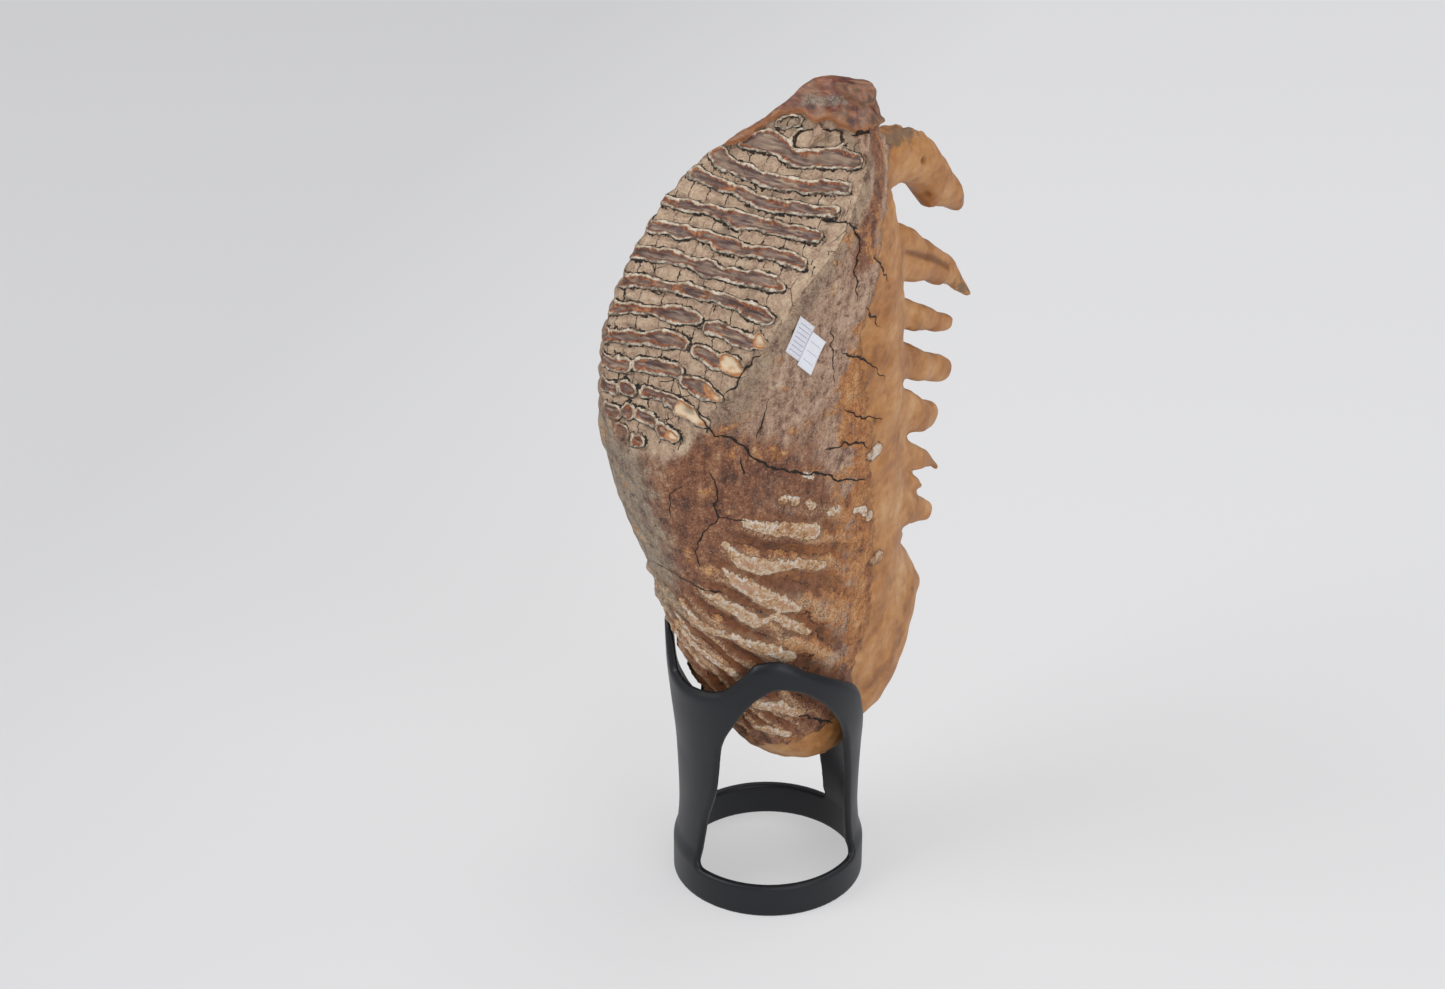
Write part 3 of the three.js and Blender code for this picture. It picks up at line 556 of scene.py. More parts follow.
        # Bare enamel: rough cream grains with orange dirt between them and a whitish rim
        rubble = node("TexNoise", {"Vector": clouds["place"], "Scale": per_metre(self.rubble), "Detail": 4.0,
                                   "Roughness": 0.7, "Distortion": 0.8})
        rubble = weighed(node, ((rubble, 0.6), (clouds["cloud"], 0.4)))
        cream = node("ValToRGB", {0: rubble}, stops=(
            (0.37, "#8A5330"), (0.43, "#B5804F"), (0.48, "#CFAA84"), (0.53, "#E0CDB8"), (0.60, "#ECE4DA")))
        edge = node("Math", {0: clouds["mottle"], 1: clouds["cloud"]}, operation="ADD")
        edge = node("Math", {0: edge, 1: 1.0}, operation="SUBTRACT")
        edge = weighed(node, [(edge, 4.2)], marks["patch"])
        dirt = node("MapRange", {0: clouds["cloud"], 1: 0.46, 2: 0.56}, **EASED)
        inner = node("MapRange", {0: edge, 1: -0.2, 2: -1.1, 4: 0.75}, **EASED)
        dirt = node("Math", {0: dirt, 1: inner}, operation="MULTIPLY")
        cream = node("Mix", {0: dirt, 6: cream, 7: "#B9794A"}, **COLOURS)
        colour = painted(node, colour, [(edge, 1.7, 0.7, 0.6, "#84502B")])
        patch_part = node("MapRange", {0: edge, 1: 0.85, 2: 0.5}, **EASED)
        colour = node("Mix", {0: patch_part, 6: colour, 7: cream}, **COLOURS)
        rim = ragged(node, marks["knob"], clouds["mottle"], 3.0)
        dull = node("Mix", {0: 0.3, 6: cream, 7: "#8A6446"}, **COLOURS)
        colour = painted(node, colour, ((rim, 0.9, 0.4, 0.8, "#5A3A26"), (rim, 0.3, -0.2, 1.0, dull)))
        return colour, root_part, patch_part

    def ribbed(self, node: Nodes, marks: Sockets, clouds: Sockets, colour: Socket) -> Socket:
        """Adds the ribs of the plates to a colour: brown valleys, ochre crests and broken cracks along them."""
        wave = weighed(node, ((clouds["mottle"], 0.2), (clouds["cloud"], 1.0)), marks["ribs"])
        wave = node("Math", {0: wave, 1: 0.6}, operation="SUBTRACT")
        wave = node("Math", {0: wave}, operation="FRACT")
        middle = node("Math", {0: wave, 1: 0.5}, operation="SUBTRACT")
        middle = node("Math", {0: middle}, operation="ABSOLUTE")
        valley = node("MapRange", {0: middle, 1: 0.34, 2: 0.12, 4: 0.6}, **EASED)
        crest = node("MapRange", {0: middle, 1: 0.3, 2: 0.46, 4: 0.75}, **EASED)
        flecked = node("MapRange", {0: clouds["grain"], 1: 0.43, 2: 0.6}, **EASED)
        crest = node("Math", {0: crest, 1: flecked}, operation="MULTIPLY")
        split = node("Math", {0: middle, 1: 0.17}, operation="SUBTRACT")
        split = node("Math", {0: split}, operation="ABSOLUTE")
        split = node("MapRange", {0: split, 1: 0.04, 2: 0.012}, **EASED)
        broken = node("MapRange", {0: clouds["cloud"], 1: 0.45, 2: 0.53, 4: 0.9}, **EASED)
        split = node("Math", {0: split, 1: broken}, operation="MULTIPLY")
        for part, tone in ((valley, "#7A4724"), (crest, "#CDA981"), (split, "#33201A")):
            part = node("Math", {0: part, 1: marks["ribbed"]}, operation="MULTIPLY")
            colour = node("Mix", {0: part, 6: colour, 7: tone}, **COLOURS)
        return colour

    def crest(self, node: Nodes, marks: Sockets, clouds: Sockets) -> Socket:
        """Colour of the smooth mass above the face: swirls of red-brown, an orange edge and a worn grey scar."""
        drawn = node("Mapping", {"Vector": clouds["place"], "Scale": (0.5, 1.0, 1.2)})
        swirl = node("TexNoise", {"Vector": drawn, "Scale": per_metre(self.swirl), "Detail": 4.0, "Distortion": 1.8})
        colour = node("ValToRGB", {0: swirl}, stops=(
            (0.34, "#3E2017"), (0.43, "#542C21"), (0.5, "#6A3927"), (0.57, "#7D4931"), (0.67, "#966249")))
        edge = weighed(node, [(clouds["cloud"], 9.0)], marks["crest"])
        scar = ragged(node, marks["scar"], clouds["mottle"], 7.0)
        worn = node("ValToRGB", {0: clouds["grain"]}, stops=((0.36, "#43352C"), (0.48, "#6E5D50"), (0.6, "#8C7D70")))
        return painted(node, colour, ((edge, 8.5, 4.5, 0.8, "#A0683F"), (scar, 0.8, -0.6, 0.85, worn)))

    def chewing_face(self, node: Nodes, marks: Sockets, clouds: Sockets) -> tuple[Socket, ...]:
        """Colour of the worn face: cement blocks, and enamel loops round streaky dentine.

        Args:
            node: Adds a node.
            marks: Outputs that read the marks.
            clouds: Outputs of the shared cloudy patterns.

        Returns:
            The colour, the part that is enamel ridge and the part that is a gap between blocks.
        """
        crinkle = node("TexNoise", {"Vector": clouds["place"], "Scale": per_metre(self.crinkle), "Detail": 1.5})
        plate, block = marks["plate"], marks["block"]
        for wave, size in ((crinkle, 1.5), (clouds["cloud"], 1.1)):
            plate, block = (ragged(node, value, wave, size) for value in (plate, block))
        cement, gap = self.cement(node, marks, clouds, block)
        streaks = node("Mapping", {"Vector": clouds["place"], "Scale": (0.14, 1.0, 1.0)})
        streaks = node("TexNoise", {"Vector": streaks, "Scale": per_metre(self.streak), "Detail": 3.0})
        dentine = node("ValToRGB", {0: streaks}, stops=(
            (0.37, "#4F3B38"), (0.45, "#6B5651"), (0.52, "#7E6A61"), (0.58, "#967E6C"), (0.67, "#B09A82")))
        lens = node("MapRange", {0: plate, 1: -1.5, 2: -2.2, 4: 0.6}, **EASED)
        warm = node("MapRange", {0: clouds["stain"], 1: 0.42, 2: 0.58}, **EASED)
        lens = node("Math", {0: lens, 1: warm}, operation="MULTIPLY")
        colour = node("Mix", {0: lens, 6: dentine, 7: "#957D69"}, **COLOURS)
        rust = node("ValToRGB", {0: clouds["mottle"]}, stops=((0.4, "#6B3E2D"), (0.5, "#905539"), (0.6, "#B27C55")))
        rim = weighed(node, [(clouds["cloud"], 4.0)], plate)
        # Enamel is lighter above each loop, darker below: partly its own colour, partly painted highlight and shade
        upper = node("MapRange", {0: marks["upper"], 1: -0.6, 2: 0.6}, **EASED)
        enamels = [node("ValToRGB", {0: clouds["mottle"]}, stops=stops) for stops in (
            ((0.38, "#54473C"), (0.45, "#8C7E6E"), (0.52, "#AB9E8C"), (0.61, "#CFC4B2")),
            ((0.36, "#7A6350"), (0.44, "#A8927A"), (0.51, "#C1AF98"), (0.6, "#DACDBB")))]
        enamel = node("Mix", {0: upper, 6: enamels[0], 7: enamels[1]}, **COLOURS)
        colour = painted(node, colour, (
            (plate, -1.7, -1.15, 0.5, "#583E37"), (rim, 0.65, 1.25, 1.0, rust), (plate, -0.62, -0.42, 1.0, enamel)))
        line = node("MapRange", {0: plate, 1: 0.42, 2: 0.58}, **EASED)
        broken = node("MapRange", {0: clouds["mottle"], 1: 0.42, 2: 0.5, 3: 0.4, 4: 0.98}, **EASED)
        outline = node("Mix", {0: broken, 6: "#8B7159", 7: "#201710"}, **COLOURS)
        colour = node("Mix", {0: line, 6: colour, 7: outline}, **COLOURS)
        reach = node("Math", {0: clouds["mottle"], 1: clouds["cloud"]}, operation="ADD")
        reach = node("MapRange", {0: reach, 1: 0.85, 2: 1.17, 3: 0.55, 4: 1.45})
        past = node("Math", {0: plate, 1: reach}, operation="SUBTRACT")
        past = node("MapRange", {0: past, 1: -0.1, 2: 0.1}, **EASED)
        colour = node("Mix", {0: past, 6: colour, 7: cement}, **COLOURS)
        gap = node("Math", {0: gap, 1: past}, operation="MULTIPLY")
        crevice = node("Math", {0: line, 1: past}, operation="SUBTRACT", use_clamp=True)
        gap = node("Math", {0: gap, 1: crevice}, operation="MAXIMUM")
        warm = weighed(node, [(clouds["cloud"], 8.0)], marks["tip"])
        warm = painted(node, "#DEC9AA", [(warm, 1.9, 3.7, 1.0, "#B97F4F")])
        tip = node("MapRange", {0: marks["tip"], 1: 0.15, 2: -0.15}, **EASED)
        inside = node("MapRange", {0: plate, 1: 0.5, 2: 0.3}, **EASED)
        tip = node("Math", {0: tip, 1: inside}, operation="MULTIPLY")
        colour = node("Mix", {0: tip, 6: colour, 7: warm}, **COLOURS)
        ridge = node("Math", {0: plate}, operation="ABSOLUTE")
        ridge = node("MapRange", {0: ridge, 1: 0.8, 2: 0.15}, **EASED)
        return colour, ridge, gap

    def cement(self, node: Nodes, marks: Sockets, clouds: Sockets, block: Socket) -> tuple[Socket, Socket]:
        """Colour of the cement on the worn face, and the part that is a gap between its blocks.

        Args:
            node: Adds a node.
            marks: Outputs that read the marks.
            clouds: Outputs of the shared cloudy patterns.
            block: Ragged distance to the block that has a crevice round it.

        Returns:
            The colour and the gaps.
        """
        across = node("SeparateXYZ", {0: clouds["place"]})
        across = node("Math", {0: across, 1: per_metre(self.block)}, operation="MULTIPLY")
        uneven = node("Math", {0: clouds["mottle"], 1: 0.4, 2: across}, operation="MULTIPLY_ADD")
        strip = node("Math", {0: marks["strip"]}, operation="FLOOR")
        strip = node("Math", {0: strip, 1: 37.3, 2: uneven}, operation="MULTIPLY_ADD")
        blocks = node("TexVoronoi", {"W": strip, "Scale": 1.0, "Randomness": 0.95},
                      feature="DISTANCE_TO_EDGE", voronoi_dimensions="1D")
        width = node("MapRange", {0: clouds["cloud"], 1: 0.42, 2: 0.62, 3: -0.002, 4: 0.022})
        gap = node("Math", {0: blocks, 1: width}, operation="SUBTRACT")
        gap = node("MapRange", {0: gap, 1: 0.016, 2: 0.004}, **EASED)
        beside = node("MapRange", {0: marks["plate"], 1: 4.2, 2: 3.0}, **EASED)
        gap = node("Math", {0: gap, 1: beside}, operation="MULTIPLY")
        flaws = node("TexVoronoi", {"Vector": clouds["place"], "Scale": per_metre(self.flaw)},
                     feature="DISTANCE_TO_EDGE")
        flaws = node("MapRange", {0: flaws, 1: 0.02, 2: 0.006}, **EASED)
        here = node("MapRange", {0: clouds["stain"], 1: 0.55, 2: 0.6}, **EASED)
        flaws = node("Math", {0: flaws, 1: here}, operation="MULTIPLY")
        gap = node("Math", {0: gap, 1: flaws}, operation="MAXIMUM")
        mixed = weighed(node, ((clouds["mottle"], 0.34), (clouds["cloud"], 0.33), (clouds["grain"], 0.33)))
        colour = node("ValToRGB", {0: mixed}, stops=(
            (0.38, "#806752"), (0.45, "#A38872"), (0.51, "#B59B82"), (0.57, "#C2AA90"), (0.66, "#D0BDA4")))
        top = node("MapRange", {0: marks["crest"], 1: -7.5, 2: -4.5, 4: 0.4}, **EASED)
        outside = node("MapRange", {0: block, 1: 0.2, 2: 1.0}, **EASED)
        top = node("Math", {0: top, 1: outside}, operation="MULTIPLY")
        colour = node("Mix", {0: top, 6: colour, 7: "#6A5644"}, **COLOURS)
        clear = node("MapRange", {0: block, 1: -0.2, 2: 0.0})
        gap = node("Math", {0: gap, 1: clear}, operation="MULTIPLY")
        round_block = node("Math", {0: block, 1: 0.35}, operation="SUBTRACT")
        round_block = node("Math", {0: round_block}, operation="ABSOLUTE")
        round_block = node("MapRange", {0: round_block, 1: 0.45, 2: 0.25}, **EASED)
        gap = node("Math", {0: gap, 1: round_block}, operation="MAXIMUM")
        colour = node("Mix", {0: gap, 6: colour, 7: "#261B14"}, **COLOURS)
        return colour, gap


@dataclass(frozen=True)
class PrintFinish:
    """Matt black plastic, printed and then smoothed: a clean surface with a very fine grain and broad, soft gloss."""

    name: str = "printed_plastic_matt_black"
    ior: float = 1.48
    grain: float = 0.5
    cloud: float = 22.0

    def build(self) -> bpy.types.Material:
        """Material with a nearly even colour and a fine grain in its relief."""
        material, node = new_material(self.name)
        place = node("TexCoord", output="Object")
        grain = node("TexNoise", {"Vector": place, "Scale": per_metre(self.grain), "Detail": 2.0})
        cloud = node("TexNoise", {"Vector": place, "Scale": per_metre(self.cloud), "Detail": 3.0})
        colour = node("Mix", {0: cloud, 6: "#0E1014", 7: "#181A20"}, **COLOURS)
        rough = node("MapRange", {0: cloud, 1: 0.3, 2: 0.7, 3: 0.4, 4: 0.48})
        bump = node("Bump", {"Height": grain, "Strength": 0.25, "Distance": 0.05 * MM})
        shader = node("BsdfPrincipled", {"Base Color": colour, "Roughness": rough, "IOR": self.ior, "Normal": bump,
                                         "Specular IOR Level": 0.42})
        node("OutputMaterial", {"Surface": shader})
        return material


@dataclass(frozen=True)
class PaperFinish:
    """Uncoated white label paper: a dull, slightly fibrous sheet with fine ruled lines.

    Attributes:
        name: Name of the material.
        colour: Colour of the sheet.
        line: Colour of the ruled lines.
        step: Distance between the lines, in millimetres.
        first: Height of the lowest line above the sheet's middle, in millimetres.
        last: Height of the highest line.
        fibre: Size of the paper's fibres, in millimetres.
    """

    name: str
    colour: str
    line: str
    step: float
    first: float
    last: float
    fibre: float = 0.6

    def build(self) -> bpy.types.Material:
        """Material that draws its lines from the sheet's own coordinates, held as marks in millimetres."""
        material, node = new_material(self.name)
        place = node("TexCoord", output="Object")
        fibres = node("TexNoise", {"Vector": place, "Scale": per_metre(self.fibre), "Detail": 4.0})
        up = node("Attribute", attribute_name="sheet_up", output="Fac")
        across = node("Attribute", attribute_name="sheet_across", output="Fac")
        row = node("Math", {0: up, 1: self.first}, operation="SUBTRACT")
        row = node("Math", {0: row, 1: self.step / 2}, operation="PINGPONG")
        on_line = node("MapRange", {0: row, 1: 0.14, 2: 0.06})
        for value, start, end in ((up, self.first - 0.4, self.first - 0.3), (up, self.last + 0.4, self.last + 0.3),
                                  (across, -3.3, -3.1), (across, 3.3, 3.1)):
            edge = node("MapRange", {0: value, 1: start, 2: end})
            on_line = node("Math", {0: on_line, 1: edge}, operation="MULTIPLY")
        sheet = node("Mix", {0: fibres, 6: self.colour, 7: "#F4F5FA"}, **COLOURS)
        colour = node("Mix", {0: on_line, 6: sheet, 7: self.line}, **COLOURS)
        bump = node("Bump", {"Height": fibres, "Strength": 0.3, "Distance": 0.05 * MM})
        shader = node("BsdfPrincipled", {"Base Color": colour, "Roughness": 0.9, "IOR": 1.45, "Normal": bump})
        node("OutputMaterial", {"Surface": shader})
        return material


@dataclass(frozen=True)
class FloorFinish:
    """Plain pale studio floor of lit opal sheet: dull and even, with a soft light of its own that thins shadows."""

    name: str = "studio_sheet_pale"
    colour: str = "#969698"
    glow: float = 0.45
    lit_side: tuple[float, float, float] = (0.96, 0.28, 0.0)

    def build(self) -> bpy.types.Material:
        """Material with an even, dull colour and a weak glow that is stronger on the lit side."""
        material, node = new_material(self.name)
        place = node("TexCoord", output="Object")
        across = node("VectorMath", {0: place, 1: self.lit_side}, operation="DOT_PRODUCT", output="Value")
        glow = node("MapRange", {0: across, 1: -0.42, 2: -0.12, 3: self.glow - 0.075, 4: self.glow + 0.02})
        shader = node("BsdfPrincipled", {"Base Color": self.colour, "Roughness": 1.0, "Specular IOR Level": 0.0,
                                         "Emission Color": "#FDFDFD", "Emission Strength": glow})
        node("OutputMaterial", {"Surface": shader})
        return material


# ---- the molar ---------------------------------------------------------------------------------------------------

# Values that each point of the molar carries for the material
MARKS = ("plate", "upper", "strip", "face", "crest", "scar", "block", "tip", "crack_side", "crack_near", "patch",
         "knob", "groove", "soiled", "rootward", "ruddy", "ochre", "greyness", "ribs", "ribbed", "height")
# Distances given to places far from every loop of the chewing face, and from every crack or spot, in millimetres
FACE_FAR, SPOT_FAR = 12.0, 30.0

Spine = tuple[tuple[float, float, float], ...]

# Enamel loops on the chewing face, as x, height and half thickness along the middle of each, in millimetres
LOOPS: tuple[Spine, ...] = (
    ((-11.5, 308, 2.0), (-4, 309.5, 4.1), (3.5, 309, 3.5), (11, 307, 2.7), (18, 308, 3.2), (25.5, 309, 3.9),
     (33, 309.5, 2.9)),
    ((-19.5, 303.5, 3.2), (-12, 301, 2.4), (-4, 300.5, 2.4), (3.5, 300, 2.5), (19.5, 300.5, 2.4), (27, 301.5, 2.7),
     (35, 302, 1.8)),
    ((-25, 297.5, 2.2), (-17.5, 296, 2.2), (-10, 295.5, 1.8), (-3, 295, 1.9), (4.5, 294, 2.3), (19.5, 294.5, 2.4),
     (34.5, 295.5, 1.5)),
    ((-33.5, 288.5, 1.6), (-22.5, 288.5, 1.9), (-14.5, 288.5, 1.7), (-7, 288.5, 2.4), (1, 288, 3.0), (9, 288.5, 2.2),
     (24.5, 288.5, 2.6), (32.5, 288.5, 1.9)),
    ((-35.5, 281, 1.9), (-24, 281.5, 2.2), (-8.5, 282, 2.0), (-0.5, 281, 3.0), (7.5, 281, 1.9), (23, 282, 2.4),
     (31, 281, 2.0)),
    ((-37, 272.5, 2.0), (-18, 274.5, 2.3), (-11, 274.5, 1.9), (-3.5, 274, 2.8), (4, 273.5, 2.0), (11.5, 274, 2.6),
     (19, 274.5, 2.7), (26.5, 274, 1.7)),
    ((-39.5, 262.6, 1.8), (-27.5, 265.5, 2.0), (-20, 265.5, 1.4), (-12.5, 266, 1.6), (-5, 266.5, 2.4), (3, 266.5, 1.6),
     (18, 265.5, 2.2), (25.5, 264, 2.2)),
    ((-40, 253.6, 1.9), (-29, 256.5, 1.9), (-22, 257.5, 1.5), (-15, 258, 2.0), (-8, 258.5, 2.9), (-1.5, 258.5, 1.8)),
    ((4, 257, 1.9), (10, 257, 2.4), (16, 256.5, 2.5), (22.5, 255.5, 2.0)),
    ((-40, 244.6, 1.8), (-27.5, 247.5, 2.5), (-19.5, 248.5, 1.9), (-12, 250, 2.9), (-4.5, 250.5, 2.4)),
    ((2, 249, 2.1), (7.5, 248, 3.0), (13, 247, 2.0)),
    ((-38, 236.5, 2.4), (-27, 237.5, 2.8)),
    ((-21, 239, 2.1), (-15.5, 240, 2.4), (-10.5, 240.5, 2.6), (-5, 240.5, 2.7)),
    ((-0.5, 237.5, 2.1), (5.5, 237, 3.2), (11, 236, 2.1)),
    ((-8.0, 229.6, 2.1), (-3.5, 229.0, 2.0)),
    ((-36, 228, 2.3), (-31, 228, 2.3)),
    ((-25.5, 229.5, 2.4), (-23.5, 229.5, 2.1)),
    ((-18, 230, 1.5), (-14.5, 230.5, 2.1), (-10.5, 230.5, 1.6)),
    ((-33, 219.5, 2.3), (-29, 219.5, 2.5)),
    ((-24, 221.5, 2.1), (-23.5, 221, 2.2)),
    ((-19, 221.5, 1.7), (-13, 220.5, 2.4)),
    ((-27, 213, 2.7), (-25.5, 213, 2.4)),
    ((-19, 212, 2.0), (-17.5, 212, 2.1)),
    ((-9, 218.5, 2.3), (-7.5, 218, 2.3)),
)

# An enamel ring with cement inside, near the top of the face
ISLANDS: tuple[Spine, ...] = (
    ((-1.0, 315, 1.2), (2.5, 316, 2.2), (5.0, 316.5, 1.8)),
)

# A block of cement with a crevice round it, near the top of the face
BLOCKS: tuple[Spine, ...] = (
    ((10.0, 312.3, 2.7), (16.0, 313.2, 3.1), (22.5, 314.2, 2.6)),
)

# Orange-cream ends of enamel past the loops, from x, height and half thickness
LOOP_TIPS: tuple[Spine, ...] = (
    ((24.5, 257.3, 2.4), (28.5, 255.7, 1.5)),
    ((14.5, 248.0, 3.2), (18.0, 247.2, 2.7), (21.5, 246.0, 1.0)),
    ((8.5, 236.9, 2.3), (13.0, 235.6, 1.5)),
    ((-1.5, 228.4, 2.7), (3.5, 226.8, 2.1), (8.5, 224.6, 0.8)),
    ((-5.5, 217.5, 1.6), (-3.0, 216.5, 1.2)),
)

# Worn grey scar on the smooth mass above the face
SCAR: Spine = ((7.0, 323.2, 1.2), (14.0, 324.3, 2.2), (21.0, 325.2, 1.3))

Path = tuple[tuple[float, float, float], ...]

# Cracks on the labelled side: half the gap's width, and the places it runs through
CRACKS: tuple[tuple[float, Path], ...] = (
    (0.45, ((33.6, -18.1, 293.4), (40.2, -16.9, 294.5), (42.6, -13.3, 288.9), (42.9, -12.2, 282.1),
            (42.5, -13.9, 276.2), (42.1, -12.2, 265.9))),
    (0.3, ((43.8, -3.1, 277.2), (43.9, 6.4, 264.9))),
    (0.3, ((42.7, -5.1, 258.0), (43.0, 2.6, 248.5))),
    (0.3, ((39.1, -15.3, 243.1), (41.0, -4.2, 236.8), (42.7, 9.3, 224.2))),
    (0.28, ((38.2, -10.6, 218.7), (40.4, -2.0, 212.1), (42.7, 10.2, 207.2))),
    (0.25, ((38.8, -23.4, 256.2), (37.3, -18.2, 234.3))),
    (0.35, ((25.9, -50.3, 252.3), (21.1, -53.7, 246.3), (18.5, -55.5, 239.4), (15.7, -56.2, 237.7))),
    (0.28, ((26.6, -44.5, 232.7), (24.4, -44.9, 224.0), (22.3, -46.2, 218.5))),
    (0.45, ((6.5, -58.3, 227.1), (12.4, -57.0, 220.3), (16.4, -53.3, 219.5), (19.9, -48.4, 214.0),
            (20.7, -46.9, 210.0), (24.3, -41.3, 204.5), (27.5, -35.5, 201.3), (34.1, -18.5, 194.5),
            (36.0, -11.5, 189.5), (39.2, 2.0, 184.5))),
    (0.35, ((18.3, -49.7, 208.9), (19.1, -48.3, 203.7))),
    (0.35, ((10.1, -56.7, 204.0), (11.6, -54.5, 196.6), (10.5, -54.1, 189.2), (11.3, -52.8, 185.6))),
    (0.35, ((35.3, -17.3, 204.5), (39.4, -4.1, 202.5), (40.7, 2.4, 198.4))),
    (0.3, ((-20.5, -47.4, 153.9), (-11.0, -49.7, 153.6), (-1.6, -49.2, 151.7), (7.2, -46.4, 150.1))),
    (0.25, ((0.4, -60.8, 198.2), (-4.7, -61.1, 193.6), (-6.6, -58.4, 182.4))),
    (0.25, ((10.6, -53.0, 185.1), (4.6, -54.5, 176.6), (0.9, -53.5, 167.5), (1.1, -51.8, 161.8))),
    (0.2, ((10.6, -53.0, 185.1), (13.5, -50.8, 184.5), (17.7, -46.7, 183.5))),
    (0.7, ((29.0, 7.2, 316.2), (31.8, 7.2, 317.1), (34.0, 8.4, 319.0))),
    (0.6, ((21.3, -12.5, 84.0), (24.5, -5.6, 79.2), (26.6, 2.2, 74.4))),
)

Track = tuple[tuple[float, float, float, float], ...]

# Pit, groove and hollow of the roots, pressed in and with painted shade: places they run through, half width at each
GROOVES: tuple[Track, ...] = (
    ((38.0, 41.5, 297.3, 0.6), (38.0, 43.0, 296.4, 0.7)),
    ((37.8, 32.4, 264.3, 0.2), (37.6, 42.2, 259.9, 0.8), (37.0, 53.1, 254.4, 0.9), (36.0, 62.5, 248.8, 0.8),
     (35.0, 71.0, 243.6, 0.3)),
    ((36.0, 38.3, 288.0, 0.6), (36.0, 43.8, 283.6, 1.6), (34.0, 52.5, 276.6, 2.2)),
)

# Bare enamel on the labelled side: places it runs through, with its half width at each
PATCHES: tuple[Track, ...] = (
    ((17.9, -46.4, 182.6, 1.2), (24.0, -35.5, 177.5, 2.4), (31.4, -21.8, 172.0, 2.6)),
    ((11.8, -50.2, 173.4, 0.4), (16.1, -45.4, 165.8, 2.6), (21.0, -39.5, 161.6, 2.6), (27.7, -28.8, 160.7, 1.5),
     (32.2, -16.2, 155.4, 1.2)),
    ((10.7, -48.5, 161.9, 0.5), (14.6, -44.4, 155.7, 2.6), (19.9, -37.7, 148.6, 3.0), (24.6, -29.7, 142.3, 2.6),
     (27.2, -24.0, 139.1, 0.8)),
    ((0.1, -49.1, 150.9, 0.4), (7.0, -46.1, 146.9, 1.6), (13.2, -40.8, 140.4, 2.4), (16.8, -36.7, 136.0, 2.6),
     (21.5, -32.4, 137.6, 0.8)),
    ((-9.9, -45.5, 141.3, 0.4), (-4.2, -42.6, 132.2, 1.6), (3.6, -40.9, 129.1, 1.5), (10.5, -37.9, 127.2, 1.4),
     (18.3, -30.5, 121.3, 2.4), (23.4, -23.0, 116.1, 2.4)),
    ((-17.4, -37.8, 125.6, 0.8), (-10.4, -36.7, 118.6, 1.5), (-1.4, -35.3, 112.0, 1.2), (4.8, -33.0, 106.7, 1.4)),
    ((21.1, -31.8, 138.4, 0.9), (24.6, -25.2, 132.4, 1.6), (27.7, -18.0, 126.4, 0.7)),
    ((-18.0, -40.5, 137.5, 0.3), (-13.5, -40.0, 129.5, 1.2), (-7.5, -37.8, 122.0, 0.7)),
    ((-22.0, -35.5, 122.0, 0.6), (-16.0, -34.5, 113.5, 1.2), (-8.0, -33.0, 106.0, 0.8)),
    ((31.0, -28.0, 197.8, 0.9), (32.4, -24.1, 195.7, 0.9)),
    ((27.1, -34.6, 189.8, 1.0), (29.3, -29.9, 187.5, 1.0)),
    ((31.3, -24.8, 185.0, 0.8), (31.9, -22.9, 183.1, 0.8)),
    ((34.2, -15.2, 177.8, 0.9), (35.3, -11.3, 177.2, 0.9)),
    ((37.4, -1.9, 173.1, 0.8), (38.4, 2.5, 172.3, 1.1), (38.8, 7.8, 166.6, 1.1)),
    ((9.6, -24.2, 91.6, 1.4), (16.5, -20.1, 91.4, 2.3), (21.7, -12.3, 84.5, 1.3)),
    ((6.6, -19.4, 78.1, 1.1), (11.6, -16.4, 75.9, 1.9), (16.0, -12.4, 73.5, 1.2)),
)

# Grey stains of the roots: the rough back of the uppermost at its base, and the tip of the next
STAINS: tuple[Track, ...] = (
    ((34.0, 22.0, 310.0, 4.5), (33.0, 33.0, 309.0, 5.5), (31.0, 44.0, 306.5, 3.6), (30.0, 54.0, 302.0, 1.0)),
    ((34.0, 76.0, 239.0, 1.0), (35.5, 82.0, 231.0, 4.0)),
)

# Knobs of enamel in the cement: x, y, z and radius. They are longer along Y, where their distances are shortened
KNOBS = ((40.2, 7.5, 194.2, 2.9), (37.7, 15.8, 144.6, 2.6))
KNOB_SCALE = (1.0, 0.6, 1.0)


